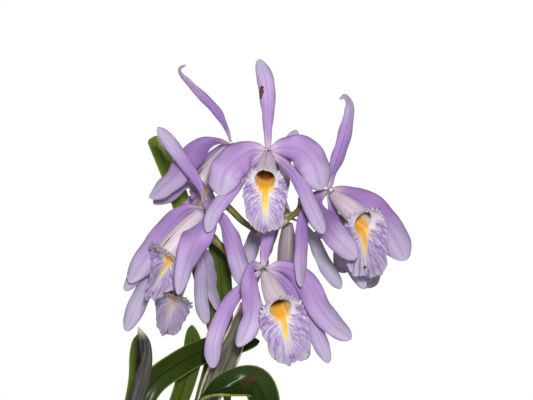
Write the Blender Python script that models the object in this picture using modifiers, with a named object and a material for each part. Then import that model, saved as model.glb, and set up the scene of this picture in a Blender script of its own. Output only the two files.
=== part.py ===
"""A cattleya orchid in flower, growing in a plain clay pot.

The pot holds bark. On the bark lies a creeping rhizome with its roots, and on the rhizome
stand six pseudobulbs, each with one leaf. One pseudobulb sends a flower stalk up through a
papery spathe, and the stalk carries eight blooms. Each bloom has three sepals and two petals
grown together at the middle, a trumpet lip, and a column inside the lip.

Sizes below are in millimetres and MM turns them into Blender's metres. +X is to the right,
+Y to the back and +Z up. The origin is the centre of the pot's underside.
"""

import math
import random
from collections import namedtuple

import bmesh
import bpy
from mathutils import Matrix, Vector

MM = 0.001
GAP = 0.3                # clear space between pieces that touch
MERGE_NEAR = 0.01        # points nearer than this are one point
SMOOTH_ANGLE = math.radians(50)

# The pot and what fills it
POT_HEIGHT = 112
POT_FOOT_RADIUS = 50
POT_BODY_RADIUS = 66     # outside, just under the rim
POT_RIM_RADIUS = 72
POT_RIM_HEIGHT = 26
POT_WALL = 5
POT_FLOOR = 8
POT_EDGE = 2             # how far the pot's edges are eased
POT_SIDES = 24
DRAIN_COUNT = 3
DRAIN_RADIUS = 5
DRAIN_RING = 26
DRAIN_SIDES = 8
BARK_LEVEL = 100         # height of the fill between the chips
BARK_SPREAD = 46         # how far from the middle the chips lie
BARK_SEED = 9
CHIP_COUNT = 24
CHIP_FREE = 15           # no chip's middle lies nearer than this to the rhizome's line
CHIP_LENGTH = (15, 22)
CHIP_WIDTH = (11, 16)
CHIP_HEIGHT = (6, 9)
CHIP_CORNERS = (0.75, 1.1)   # how far a chip's corners are pushed in or out
CHIP_TILT = 0.5
CUT_ROOM = 1.3           # how much wider the hollows in the bark are than what lies in them

# The stems
RHIZOME_RADIUS = 4.5
RHIZOME_LEVEL = 105.5
RHIZOME_ROUTE = ((-57, 2), (-22, -1), (13, 1), (49, -2))
RHIZOME_TAPER = (0.55, 1, 1, 1, 0.55)
RHIZOME_SIDES = 8
RHIZOME_STEPS = 7
ROOT_RADIUS = 1.7
ROOT_SIDES = 6
ROOT_STEPS = 7
BULB_RIBS = 5
BULB_RIB_DEPTH = 0.07    # as a share of the radius
BULB_STEPS = 7
BULB_BOW = 0.12          # how far a pseudobulb bows, as a share of its lean
STALK_RADIUS = 2.8
STALK_TAPER = (0.9, 1, 0.9, 0.7)
STALK_SIDES = 8
STALK_STEPS = 12
PEDICEL_RADIUS = 1.7
PEDICEL_SIDES = 6
PEDICEL_STEPS = 6
OVARY_RADIUS = 2.4
SHEATH_THICKNESS = 0.7
SHEATH_SIDES = 10
SHEATH_STEPS = 2
SPATHE_SIDES = 10
SPATHE_STEPS = 5
OLD_SPATHE_STEPS = 8

# The blades: leaves, sepals and petals
LEAF_THICKNESS = 1.8
LEAF_FOOT = 12           # how far a leaf runs straight on from its pseudobulb
TEPAL_THICKNESS = 0.8
TIP_CROWDING = 1.6       # above 1, a blade's cross-sections lie closer towards its tip
FRAME_STEPS = 40         # how finely a blade's twist is worked out
TRAIL_STEPS = 200        # how finely a route's length is measured
TANGENT_NUDGE = 0.01     # how far to each side of a point its tangent is taken, as a share
WAVE_RATE = 9            # how fast a margin's wave runs along a blade
WAVE_SHIFT = 2           # how far one margin's wave is ahead of the other's
TIP_SHARE = 0.2          # how much of a blade's length its rounded tip takes

# The middle of a bloom
RECEPTACLE_RADIUS = 4.4
RECEPTACLE_FRONT = 2.6   # from the bloom's centre forward to the lip
COLUMN_LENGTH = 27
COLUMN_RADIUS = 1.9
COLUMN_SWELL = (1, 1, 1.3, 1.2)
COLUMN_SIDES = 6
COLUMN_STEPS = 3

# The lip: a tube that opens into a throat, with a lobe that hangs below the throat
LIP_THICKNESS = 0.8
LIP_TUBE_LENGTH = 40
LIP_BASE_RADIUS = 3.6
LIP_THROAT_RADIUS = 8.4
LIP_TUBE_SWELL = 1.5     # how far the tube bulges halfway along
LIP_HALF_WIDTH = 18.5    # of the oval that the lip's margin follows
LIP_HALF_LENGTH = 30.5
LIP_DROP = 15            # from the throat's middle down to the oval's middle
LIP_SIDE_FLARE = math.radians(66)
LIP_TOP_FLARE = math.radians(50)
LIP_TURN_REACH = 1.1     # how much further a turned lip reaches on the side it turns to
LIP_BEND_START = 0.6     # how much of its flare the lip already has at the throat
LIP_RUFFLE = 1.5
LIP_SIDES = 16
LIP_TUBE_ROWS = 2
LIP_FLARE_ROWS = 3
LIP_CROWDING = 1.3       # above 1, the lip's points lie closer along its lobe
TUBE_ROOM = 3.0          # what a sepal or petal keeps clear of its own lip's tube

# Half widths along a blade, evenly spaced from base to tip, as shares of its greatest one
SEPAL_OUTLINE = (0.36, 0.6, 0.8, 0.93, 1.0, 1.0, 0.94)
SLIM_OUTLINE = (0.42, 0.78, 1.0, 1.0, 0.88, 0.66, 0.42)
PETAL_OUTLINE = (0.24, 0.56, 0.88, 1.0, 1.0, 0.92, 0.8)
BROAD_OUTLINE = (0.3, 0.8, 1.0, 0.94, 0.74, 0.52, 0.36)
CLUB_OUTLINE = (0.3, 0.46, 0.66, 0.9, 1.0, 0.94, 0.8)
LEAF_OUTLINE = (0.3, 0.66, 0.9, 1.0, 1.0, 0.97, 0.88)

# A blade's roll is the angle that its margins turn down by, and its wave their ripple
Blade = namedtuple("Blade", "outline steps across thickness roll wave")
SEPAL = Blade(SEPAL_OUTLINE, 7, 3, TEPAL_THICKNESS, 0.75, 0.05)
SLIM = Blade(SLIM_OUTLINE, 8, 3, TEPAL_THICKNESS, 0.7, 0.03)
PETAL = Blade(PETAL_OUTLINE, 7, 4, TEPAL_THICKNESS, 0.6, 0.12)
BROAD = Blade(BROAD_OUTLINE, 7, 4, TEPAL_THICKNESS, 0.6, 0.08)
CLUB = Blade(CLUB_OUTLINE, 7, 3, TEPAL_THICKNESS, 0.75, 0.05)
LEAF = Blade(LEAF_OUTLINE, 9, 4, LEAF_THICKNESS, -0.5, 0.0)

Tepal = namedtuple("Tepal", "style half_width face tip_face route")
Bloom = namedtuple("Bloom", "centre lip_axis lip_lobe lip_turn lip_size stalk_share pedicel tepals")

# The stalk's route, from the top of its pseudobulb to the uppermost flower
STALK_ROUTE = (
    (-9, -2, 280), (4, -2, 316), (21, -2, 352), (33, 0, 385),
    (44, 4, 412), (53, 8, 432), (57, 10, 446),
)

VIEWER = (0, -1, 0)
GOLDEN_ANGLE = math.radians(137.5)

# Each bloom's centre is in the plant's frame. A tepal's route starts at that centre and its
# points are steps right, back and up from it. Its face is the way its inner side looks at the
# base, and tip_face the same at the tip.
BLOOMS = {
    "front": Bloom(
        (47, -30, 497), (-0.05, -0.86, -0.5), (0, -0.08, -1), 0, 0.96, 0.97,
        ((54, -2, 482),),
        (
            Tepal(CLUB, 7, VIEWER, VIEWER, ((0, 2, 18), (0, 3, 40), (-2, 1, 58), (-7, -4, 73))),
            Tepal(PETAL, 14.2, (0, -1, 0.2), (-0.2, -1, 0),
                  ((-13, 0, 1), (-25, -3, -6), (-34, -5, -17), (-38, -2, -33))),
            Tepal(PETAL, 13.6, (0, -1, 0.2), (0.2, -1, 0),
                  ((13, 0, 4), (26, -3, 2), (36, -5, -9), (42, -2, -29))),
            Tepal(SEPAL, 6.4, VIEWER, VIEWER,
                  ((-14, 3, -10), (-28, 1, -29), (-41, -7, -45), (-47, -13, -62))),
            Tepal(SEPAL, 6.6, VIEWER, VIEWER,
                  ((13, 1, -9), (25, -4, -23), (34, -10, -43), (43, -17, -63))),
        ),
    ),
    "left": Bloom(
        (-4, -8, 453), (-0.62, -0.22, -0.75), (-0.5, 0.0, -0.87), 0, 1.06, 0.78,
        ((28, 6, 442), (12, 10, 456)),
        (
            Tepal(SEPAL, 5.9, VIEWER, VIEWER, ((-4, 1, 18), (-14, 4, 35), (-25, 6, 50), (-37, 6, 65))),
            Tepal(PETAL, 10.6, (0.1, -1, 0.4), (-0.2, -1, 0.2),
                  ((-14, 8, -2), (-31, 14, -18), (-46, 14, -38), (-60, 8, -59))),
            Tepal(BROAD, 13, (0.15, -0.9, -0.2), (0.2, -1, 0),
                  ((2, -15, -4), (-4, -26, -21), (-13, -29, -44), (-19, -27, -67))),
            Tepal(SEPAL, 7, (0.2, -0.9, 0.3), VIEWER,
                  ((-9, 17, -5), (-31, 25, -23), (-49, 23, -45), (-64, 16, -66))),
            Tepal(SEPAL, 8.4, VIEWER, VIEWER, ((12, 5, -6), (21, 4, -22), (27, 3, -41), (33, 0, -62))),
        ),
    ),
    "upper_left": Bloom(
        (16, 35, 504), (-0.58, -0.3, -0.76), (-0.3, 0.0, -0.95), 0, 0.92, 0.92,
        ((44, 24, 470), (32, 28, 494)),
        (
            Tepal(SLIM, 4, (-0.2, -1, 0), (-0.4, -0.8, 0.3),
                  ((-4, 0, 16), (-13, 2, 31), (-26, 4, 44), (-39, 2, 57), (-41, -3, 63), (-36, -7, 66))),
            Tepal(PETAL, 10.6, (0.1, -0.8, 0.6), (-0.1, -0.8, 0.6),
                  ((-13, -9, 2), (-30, -20, -8), (-46, -20, -26), (-65, -14, -42))),
            Tepal(PETAL, 10, (0.4, 0.3, 0.8), (0.9, 0, 0.4),
                  ((8, 8, -4), (15, 18, -16), (19, 26, -34), (18, 30, -52))),
            Tepal(SEPAL, 6.8, (0, -0.8, 0.6), VIEWER,
                  ((-10, 14, -4), (-30, 16, -20), (-48, 12, -37), (-63, 6, -47))),
            Tepal(SEPAL, 6.8, VIEWER, VIEWER,
                  ((-4, 15, -12), (-17, 24, -31), (-34, 26, -50), (-50, 23, -68))),
        ),
    ),
    "right": Bloom(
        (97, -5, 466), (0.55, -0.66, -0.5), (0.14, 0, -0.99), 0.5, 1.02, 0.9,
        ((70, 4, 450), (84, 3, 463)),
        (
            Tepal(SLIM, 6.2, (0.3, -0.9, 0), (0.4, -0.8, 0.2),
                  ((2, 2, 15), (8, 3, 32), (13, 3, 50), (16, 0, 68), (12, -4, 76), (7, -7, 74))),
            Tepal(PETAL, 13.4, (0, -1, 0.2), (0.1, -1, 0.1),
                  ((14, 6, -2), (33, 8, -13), (49, 4, -32), (60, -1, -54))),
            Tepal(PETAL, 10.5, (-0.5, -0.7, 0.4), (-0.5, -0.7, 0.3),
                  ((-9, -10, -6), (-7, -25, -19), (2, -42, -34), (18, -53, -51))),
            Tepal(SEPAL, 6, (0.3, -0.9, 0.3), (0.6, -0.8, 0),
                  ((-11, -2, -6), (-21, -9, -19), (-23, -19, -42), (-24, -31, -74))),
            Tepal(SEPAL, 6.4, VIEWER, VIEWER, ((3, 8, -17), (10, 11, -38), (18, 9, -58), (28, 5, -77))),
        ),
    ),
    "lower": Bloom(
        (44, -30, 404), (0.28, -0.77, -0.58), (0.24, 0, -0.97), 0.2, 1.05, 0.66,
        ((45, -18, 412),),
        (
            Tepal(SEPAL, 6.4, VIEWER, VIEWER, ((1, 3, 14), (3, 6, 28), (4, 8, 42), (2, 8, 56))),
            Tepal(PETAL, 10.4, (0, -1, 0.3), (0.3, -0.9, 0.3),
                  ((15, 3, 3), (32, 5, -8), (47, 2, -33), (68, -4, -53))),
            Tepal(PETAL, 9, (-0.3, -0.6, 0.7), (-0.3, -1, 0.1),
                  ((-8, -8, 4), (-10, -18, -11), (-10, -25, -34), (-20, -28, -57))),
            Tepal(SEPAL, 6.8, VIEWER, VIEWER, ((13, 5, -6), (28, 10, -24), (41, 9, -49), (51, 4, -72))),
            Tepal(SEPAL, 7.4, VIEWER, VIEWER,
                  ((-13, 4, -10), (-28, 4, -27), (-39, 0, -53), (-40, -8, -75))),
        ),
    ),
    "back_middle": Bloom(
        (63.5, 30, 444), (-0.02, 0.2, -0.97), (0, 0.6, -0.8), 0, 0.9, 0.95,
        ((60, 20, 452),),
        (
            Tepal(SEPAL, 6.4, VIEWER, VIEWER, ((-3, 3, 18), (-4, 5, 38), (0, 4, 56), (7, 0, 73))),
            Tepal(PETAL, 10.5, (0.3, -0.5, 0.8), (0.6, -0.2, 0.7),
                  ((9, 10, 9), (17, 26, 12), (22, 43, 6), (24, 57, -9))),
            Tepal(PETAL, 10.5, (-0.3, -0.5, 0.8), (-0.8, -0.2, 0.5),
                  ((-9, 10, 6), (-16, 26, 3), (-18, 42, -11), (-15, 54, -31))),
            Tepal(SEPAL, 6.4, VIEWER, VIEWER, ((11, -3, -4), (21, -4, -18), (32, -1, -39), (43, -3, -56))),
            Tepal(SEPAL, 7, VIEWER, VIEWER,
                  ((-12, -1, -2), (-24, 0, -11), (-32, 0, -28), (-38, -2, -50))),
        ),
    ),
    "back_left": Bloom(
        (-15, 25, 424), (-0.35, -0.2, -0.92), (-0.25, 0.2, -0.95), 0, 0.98, 0.6,
        ((24, 18, 408), (2, 26, 428)),
        (
            Tepal(SEPAL, 6.6, (0, -0.4, 0.9), (0, 0, 1),
                  ((2, 14, 9), (4, 30, 14), (4, 46, 13), (2, 62, 7))),
            Tepal(PETAL, 10.5, (0.3, -0.4, 0.8), (-0.2, -0.5, 0.8),
                  ((-13, 10, 3), (-29, 22, -3), (-42, 34, -14), (-50, 42, -30))),
            Tepal(SEPAL, 8, VIEWER, (-0.2, -1, 0),
                  ((-13, 2, -3), (-30, 0, -22), (-43, -4, -46), (-53, -6, -70))),
            Tepal(SEPAL, 6, VIEWER, VIEWER, ((6, 9, -9), (7, 9, -30), (8, 6, -47), (12, 2, -65))),
            Tepal(PETAL, 8, (0.6, -0.6, 0), (0.7, -0.6, 0),
                  ((9, 10, -9), (15, 15, -24), (18, 15, -38), (22, 12, -55))),
        ),
    ),
    "back_right": Bloom(
        (119, 40, 436), (0.25, 0.88, -0.36), (0, 0.65, -0.7), 0, 0.85, 0.99,
        ((80, 26, 450), (104, 32, 446)),
        (
            Tepal(SEPAL, 6.4, (0, 0.8, -0.5), (0, 0.3, -1),
                  ((3, 0, 12), (5, 8, 23), (5, 26, 29), (3, 44, 26))),
            Tepal(PETAL, 10.5, (0.4, 0.9, 0.2), (0.6, 0.8, 0),
                  ((11, 4, 5), (22, 11, 3), (30, 21, -6), (34, 32, -18))),
            Tepal(PETAL, 9, (-0.4, 0.8, 0.3), (-0.2, -0.4, 0.9),
                  ((-9, 3, 1), (-20, 8, 0), (-31, 12, -3), (-42, 14, -6))),
            Tepal(SEPAL, 6.8, (0, 0.5, -0.6), (0.2, 1, 0),
                  ((5, 0, -12), (12, -1, -25), (14, -2, -38), (9, -3, -48))),
            Tepal(SEPAL, 6.8, (0, 0.5, -0.6), (-0.4, 0.9, 0),
                  ((-6, 1, -11), (-11, 2, -20), (-11, 4, -28), (-6, 6, -35))),
        ),
    ),
}

Bulb = namedtuple("Bulb", "foot top radius leaf_at leaf_half_width leaf_face leaf_tip_face leaf_route")

# Each pseudobulb's foot on the rhizome and its top, where the leaf stands on that top, and the
# leaf's route up from there
BULBS = (
    Bulb((-48, 3), (-70, 5, 236), 8, (0, 0), 9.5, VIEWER, VIEWER,
         ((-67, 1, 262), (-58, 3, 298), (-55, 7, 326), (-58, 11, 351))),
    Bulb((-29, -4), (-60, -26, 244), 8.5, (1, 1.6), 10.4, (0.6, -0.7, 0.4), (0.3, -0.9, 0.4),
         ((-61, -22, 275), (-47, -16, 311), (-26, -4, 328), (0, 16, 339), (40, 24, 345))),
    Bulb((-12, 3), (-34, 20, 256), 8.5, (0, 0), 8, (0.2, -1, 0.2), VIEWER,
         ((-31, 22, 282), (-22, 22, 306), (-14, 22, 334), (-15, 22, 358))),
    Bulb((6, -2), (-9, 2, 278), 9.5, (0, 2.4), 9, (0, -1, 0.1), (0.1, -1, 0.1),
         ((-5, 16, 302), (8, 42, 345), (8, 62, 395), (1, 68, 432))),
    Bulb((23, 3), (14, 40, 290), 9, (0, 0), 8.5, (0.3, -0.9, 0.3), (0.2, -0.9, 0.3),
         ((10, 52, 325), (-8, 80, 395), (-28, 98, 460), (-50, 100, 514))),
    Bulb((40, -3), (43, -22, 250), 8.5, (0, 0), 12.5, (-0.1, -0.9, 0.4), (-0.2, 0.1, 1),
         ((45, -27, 275), (45, -32, 300), (36, -36, 318), (14, -40, 314), (-6, -43, 304))),
)
BULB_SWELL = (0.5, 0.74, 0.95, 1.0, 0.9, 0.68, 0.42)
SHEATH_SHARES = (0.05, 0.48)     # how far up its pseudobulb each dry sheath starts and ends

# The papery spathe round the stalk, with its half widths and half depths along its length
SPATHE_ROUTE = ((-7, -2, 286), (7, -2, 318), (22, -2, 352), (31, 0, 376))
SPATHE_HALF_WIDTHS = (5.0, 9.5, 10, 8, 6)
SPATHE_HALF_DEPTHS = (4.6, 5.2, 5, 4.8, 4.6)

# The dry grey spathe left from an earlier flowering, closed and twisted
OLD_SPATHE_ROUTE = (
    (-62, -29, 244.6), (-61, -38, 276), (-54, -42, 308), (-47, -43, 335), (-47, -43, 350), (-54, -42, 361),
)
OLD_SPATHE_HALF_WIDTHS = (1.2, 4.5, 5.4, 6, 3.6, 0.8)
OLD_SPATHE_HALF_DEPTHS = (1.2, 2.4, 2.4, 2.4, 1.6, 0.8)

# Roots that run over the bark and dive into it
ROOT_ROUTES = (
    ((-24, 0, 105), (-31, -24, 106), (-31, -38, 100), (-31, -40, 86)),
    ((-6, 0, 105), (-3, 24, 107), (2, 38, 100), (3, 40, 86)),
    ((14, 0, 105), (19, -20, 107), (18, -38, 101), (18, -40, 86)),
    ((32, 0, 105), (40, 14, 107), (43, 25, 101), (43, 27, 86)),
)


def material(name, colour, roughness):
    made = bpy.data.materials.new(name)
    made.use_nodes = True
    shader = made.node_tree.nodes["Principled BSDF"]
    shader.inputs["Base Color"].default_value = (*colour, 1)
    shader.inputs["Roughness"].default_value = roughness
    shader.inputs["Metallic"].default_value = 0
    made.diffuse_color = (*colour, 1)
    return made


def spline(stations, share):
    """The value at a share of the smooth curve through evenly spaced stations."""
    spans = len(stations) - 1
    at = min(int(share * spans), spans - 1)
    u = share * spans - at
    here, there = stations[at], stations[at + 1]
    before = stations[at - 1] if at else here + (here - there)
    after = stations[at + 2] if at + 2 <= spans else there + (there - here)
    return 0.5 * (
        2 * here
        + (there - before) * u
        + (2 * before - 5 * here + 4 * there - after) * u * u
        + (3 * here - before - 3 * there + after) * u * u * u
    )


def even_shares(steps):
    return [i / steps for i in range(steps + 1)]


def walk(route, shares):
    """The points at shares of a route's length along its smooth curve, and the tangents there."""
    route = [Vector(point) for point in route]
    trail = [spline(route, share) for share in even_shares(TRAIL_STEPS)]
    lengths = [0.0]
    for before, after in zip(trail, trail[1:]):
        lengths.append(lengths[-1] + (after - before).length)

    def place(length):
        length = min(max(length, 0), lengths[-1])
        after = next(i for i in range(1, len(lengths)) if lengths[i] >= length)
        span = lengths[after] - lengths[after - 1]
        return trail[after - 1].lerp(trail[after], (length - lengths[after - 1]) / span)

    nudge = lengths[-1] * TANGENT_NUDGE
    goals = [lengths[-1] * share for share in shares]
    points = [place(goal) for goal in goals]
    tangents = [(place(goal + nudge) - place(goal - nudge)).normalized() for goal in goals]
    return points, tangents


def square_to(way, tangent):
    """The part of a direction that is square to a tangent, at length 1."""
    return (way - way.dot(tangent) * tangent).normalized()


def turn_about(tangent, start, end):
    """The angle about a tangent from one direction to another, both square to it."""
    return math.atan2(start.cross(end).dot(tangent), start.dot(end))


def blade_frames(route, faces, shares):
    """Points, sideways directions and facing directions at shares of a blade's length.

    The blade faces the given ways at its base, middle and tip, and turns evenly between them,
    the shorter way round.
    """
    _, tangents = walk(route, even_shares(FRAME_STEPS))
    carried = [square_to(Vector(faces[0]), tangents[0])]
    for before, after in zip(tangents, tangents[1:]):
        carried.append(square_to(before.rotation_difference(after) @ carried[-1], after))
    turns = [0.0]
    for at, face in ((FRAME_STEPS // 2, faces[1]), (FRAME_STEPS, faces[2])):
        turn = turn_about(tangents[at], carried[at], square_to(Vector(face), tangents[at]))
        turns.append(turns[-1] + math.remainder(turn - turns[-1], math.tau))
    frames = []
    for share, point, tangent in zip(shares, *walk(route, shares)):
        normal = square_to(carried[round(share * FRAME_STEPS)], tangent)
        normal = Matrix.Rotation(spline(turns, share), 3, tangent) @ normal
        frames.append((point, tangent.cross(normal), normal))
    return frames


def mesh_object(name, bm, skin):
    """A new object in the model's collection from a bmesh in millimetres."""
    bmesh.ops.scale(bm, vec=(MM, MM, MM), verts=bm.verts)
    mesh = bpy.data.meshes.new(name)
    bm.to_mesh(mesh)
    bm.free()
    mesh.materials.append(skin)
    made = bpy.data.objects.new(name, mesh)
    MODEL.objects.link(made)
    return made


def thicken(thing, thickness):
    solidify = thing.modifiers.new("Thickness", "SOLIDIFY")
    solidify.thickness = thickness * MM
    solidify.offset = 0


def blade_half_width(style, share):
    """Half the width at a share of the blade's length, with the tip rounded off."""
    into_tip = max(0, (share - 1 + TIP_SHARE) / TIP_SHARE)
    return spline(style.outline, share) * math.sqrt(1 - into_tip ** 2)


def blade(name, style, half_width, faces, route, skin, bend=None):
    """A leaf, sepal or petal: a flat grid bent along its route, rolled across and thickened."""
    shares = [1 - (1 - share) ** TIP_CROWDING for share in even_shares(style.steps)]
    frames = blade_frames(route, faces, shares)
    bm = bmesh.new()
    bmesh.ops.create_grid(bm, x_segments=style.steps, y_segments=style.across, size=1)
    for vertex in bm.verts:
        row = round((vertex.co.x + 1) / 2 * style.steps)
        across = vertex.co.y
        share = shares[row]
        point, side, normal = frames[row]
        half = half_width * blade_half_width(style, share)
        turn = style.roll * across
        reach = half * math.sin(turn) / style.roll
        fall = half * (1 - math.cos(turn)) / style.roll
        wave = math.sin(WAVE_RATE * share + WAVE_SHIFT * across)
        ripple = style.wave * half * across * across * wave
        vertex.co = point + side * reach - normal * (fall - ripple)
        if bend:
            vertex.co = bend(vertex.co)
    bmesh.ops.remove_doubles(bm, verts=bm.verts, dist=MERGE_NEAR)
    bmesh.ops.triangulate(bm, faces=bm.faces)
    made = mesh_object(name, bm, skin)
    thicken(made, style.thickness)
    return made


def skin_tube(name, route, sides, steps, reach_at, skin, closed=True):
    """A tube along a route. reach_at(share, angle) gives its reach sideways and to the front."""
    points, tangents = walk(route, even_shares(steps))
    bm = bmesh.new()
    bmesh.ops.create_grid(bm, x_segments=steps, y_segments=sides, size=1)
    for vertex in bm.verts:
        share = (vertex.co.x + 1) / 2
        angle = (vertex.co.y + 1) * math.pi
        row = round(share * steps)
        hint = Vector((1, 0, 0)) if abs(tangents[row].x) < 0.8 else Vector((0, 0, 1))
        front = hint.cross(tangents[row]).normalized()
        side = tangents[row].cross(front)
        to_side, to_front = reach_at(share, angle)
        vertex.co = points[row] + side * to_side + front * to_front
    bmesh.ops.remove_doubles(bm, verts=bm.verts, dist=MERGE_NEAR)
    if closed:
        rims = [edge for edge in bm.edges if edge.is_boundary]
        bmesh.ops.holes_fill(bm, edges=rims, sides=0)
    bmesh.ops.recalc_face_normals(bm, faces=bm.faces)
    bmesh.ops.triangulate(bm, faces=bm.faces)
    return mesh_object(name, bm, skin)


def round_tube(name, route, radii, sides, steps, skin):
    def reach_at(share, angle):
        radius = spline(radii, share)
        return radius * math.cos(angle), radius * math.sin(angle)
    return skin_tube(name, route, sides, steps, reach_at, skin)


def flat_reach(half_widths, half_depths):
    def reach_at(share, angle):
        across = spline(half_widths, share) * math.cos(angle)
        return across, spline(half_depths, share) * math.sin(angle)
    return reach_at


def apply_modifiers(thing):
    """Bakes an object's modifiers into its mesh and cuts the mesh into triangles."""
    bpy.context.view_layer.update()
    graph = bpy.context.evaluated_depsgraph_get()
    thing.data = bpy.data.meshes.new_from_object(thing.evaluated_get(graph))
    thing.modifiers.clear()
    bm = bmesh.new()
    bm.from_mesh(thing.data)
    bmesh.ops.triangulate(bm, faces=bm.faces, ngon_method="EAR_CLIP")
    bm.to_mesh(thing.data)
    bm.free()


def boolean(thing, operation, others):
    """Joins others to the thing or cuts them from it, applies it, and removes them."""
    group = bpy.data.collections.new("Operands")
    bpy.context.scene.collection.children.link(group)
    for other in others:
        apply_modifiers(other)
        group.objects.link(other)
    apply_modifiers(thing)
    modifier = thing.modifiers.new(operation.title(), "BOOLEAN")
    modifier.operation = operation
    modifier.operand_type = "COLLECTION"
    modifier.collection = group
    modifier.solver = "MANIFOLD"
    apply_modifiers(thing)
    for other in others:
        bpy.data.objects.remove(other)
    bpy.data.collections.remove(group)


def drop_scraps(thing):
    """Keeps only the largest of the pieces that a cut has left."""
    bm = bmesh.new()
    bm.from_mesh(thing.data)
    pieces = []
    unseen = set(bm.verts)
    while unseen:
        piece = set()
        edge_of_piece = {unseen.pop()}
        while edge_of_piece:
            piece |= edge_of_piece
            beyond = {edge.other_vert(vertex) for vertex in edge_of_piece for edge in vertex.link_edges}
            edge_of_piece = beyond - piece
        unseen -= piece
        pieces.append(piece)
    pieces.sort(key=len)
    for piece in pieces[:-1]:
        bmesh.ops.delete(bm, geom=list(piece), context="VERTS")
    bm.to_mesh(thing.data)
    bm.free()


def round_shading(thing):
    thing.data.shade_smooth()
    thing.data.set_sharp_from_angle(angle=SMOOTH_ANGLE)


def make_pot():
    """A turned clay pot with a thick rim and drain holes."""
    inner_top = POT_BODY_RADIUS - POT_WALL + 1
    rim_foot = POT_HEIGHT - POT_RIM_HEIGHT
    profile = (
        (0, POT_FLOOR),
        (POT_FOOT_RADIUS - POT_WALL, POT_FLOOR),
        (inner_top, POT_HEIGHT - POT_EDGE),
        (inner_top + POT_EDGE, POT_HEIGHT),
        (POT_RIM_RADIUS - POT_EDGE, POT_HEIGHT),
        (POT_RIM_RADIUS, POT_HEIGHT - POT_EDGE),
        (POT_RIM_RADIUS - POT_EDGE, rim_foot),
        (POT_BODY_RADIUS, rim_foot - POT_EDGE),
        (POT_FOOT_RADIUS, POT_EDGE),
        (POT_FOOT_RADIUS - POT_EDGE, 0),
        (0, 0),
    )
    bm = bmesh.new()
    corners = [bm.verts.new((radius, 0, height)) for radius, height in profile]
    for first, second in zip(corners, corners[1:]):
        bm.edges.new((first, second))
    pot = mesh_object("pot", bm, CLAY)
    screw = pot.modifiers.new("Turn", "SCREW")
    screw.steps = screw.render_steps = POT_SIDES
    screw.use_merge_vertices = True
    screw.merge_threshold = MERGE_NEAR * MM
    screw.use_normal_calculate = True
    apply_modifiers(pot)
    drains = []
    for i in range(DRAIN_COUNT):
        bm = bmesh.new()
        bmesh.ops.create_cone(bm, cap_ends=True, segments=DRAIN_SIDES, radius1=DRAIN_RADIUS,
                              radius2=DRAIN_RADIUS, depth=POT_FLOOR * 3)
        angle = math.tau * (i + 0.25) / DRAIN_COUNT
        middle = (DRAIN_RING * math.cos(angle), DRAIN_RING * math.sin(angle), 0)
        bmesh.ops.translate(bm, vec=middle, verts=bm.verts)
        drains.append(mesh_object("drain", bm, CLAY))
    boolean(pot, "DIFFERENCE", drains)
    round_shading(pot)


def bark_chip(rng, middle):
    """One rough chip: a box with its corners pushed about, lying at a random tilt."""
    bm = bmesh.new()
    bmesh.ops.create_cube(bm, size=1)
    long, wide = rng.uniform(*CHIP_LENGTH), rng.uniform(*CHIP_WIDTH)
    for vertex in bm.verts:
        vertex.co.x *= long * rng.uniform(*CHIP_CORNERS)
        vertex.co.y *= wide * rng.uniform(*CHIP_CORNERS)
        vertex.co.z *= rng.uniform(*CHIP_HEIGHT)
    turn = Matrix.Rotation(rng.uniform(0, math.tau), 3, "Z")
    tilt = Matrix.Rotation(rng.uniform(-CHIP_TILT, CHIP_TILT), 3, "X")
    bmesh.ops.rotate(bm, matrix=turn @ tilt, verts=bm.verts)
    bmesh.ops.translate(bm, vec=middle, verts=bm.verts)
    return mesh_object("chip", bm, BARK)


def make_bark():
    """The pot's fill with a layer of chips on top, hollowed where roots and stems lie."""
    rng = random.Random(BARK_SEED)
    inner_foot = POT_FOOT_RADIUS - POT_WALL
    inner_top = POT_BODY_RADIUS - POT_WALL + 1
    slope = (inner_top - inner_foot) / (POT_HEIGHT - POT_EDGE - POT_FLOOR)
    depth = BARK_LEVEL - POT_FLOOR - GAP
    bm = bmesh.new()
    bmesh.ops.create_cone(bm, cap_ends=True, segments=POT_SIDES, radius1=inner_foot - 2 * GAP,
                          radius2=inner_foot - 2 * GAP + slope * depth, depth=depth)
    bmesh.ops.translate(bm, vec=(0, 0, POT_FLOOR + GAP + depth / 2), verts=bm.verts)
    bark = mesh_object("bark", bm, BARK)
    chips = []
    for i in range(CHIP_COUNT):
        ring = math.sqrt((i + 0.5) / CHIP_COUNT) * BARK_SPREAD
        angle = i * GOLDEN_ANGLE
        along, aside = ring * math.cos(angle), ring * math.sin(angle)
        if abs(aside) > CHIP_FREE:
            chips.append(bark_chip(rng, (along, aside, BARK_LEVEL + rng.uniform(-1, 1))))
    boolean(bark, "UNION", chips)
    boolean(bark, "DIFFERENCE", [root_tube(route, CUT_ROOM) for route in ROOT_ROUTES])
    drop_scraps(bark)


def root_tube(route, room=0.0):
    """One root, or with some room the hollow that it lies in, which is a little deeper too."""
    deep = (*route[-1][:2], route[-1][2] - room)
    radii = (ROOT_RADIUS + room, ROOT_RADIUS + room)
    return round_tube("root", (*route[:-1], deep), radii, ROOT_SIDES, ROOT_STEPS, ROOT)


def make_rhizome():
    """The creeping stem that joins the pseudobulbs, with its roots."""
    route = [(*place, RHIZOME_LEVEL) for place in RHIZOME_ROUTE]
    radii = [RHIZOME_RADIUS * share for share in RHIZOME_TAPER]
    rhizome = round_tube("rhizome", route, radii, RHIZOME_SIDES, RHIZOME_STEPS, ROOT)
    boolean(rhizome, "UNION", [root_tube(route) for route in ROOT_ROUTES])
    round_shading(rhizome)


def bulb_route(bulb):
    """From foot to top, bowed a little so that it leaves the rhizome more upright."""
    foot = Vector((*bulb.foot, RHIZOME_LEVEL + RHIZOME_RADIUS + 2 * GAP))
    top = Vector(bulb.top)
    bow = Vector((top.x - foot.x, top.y - foot.y, 0)) * BULB_BOW
    return (foot, foot.lerp(top, 0.5) - bow, top)


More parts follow.
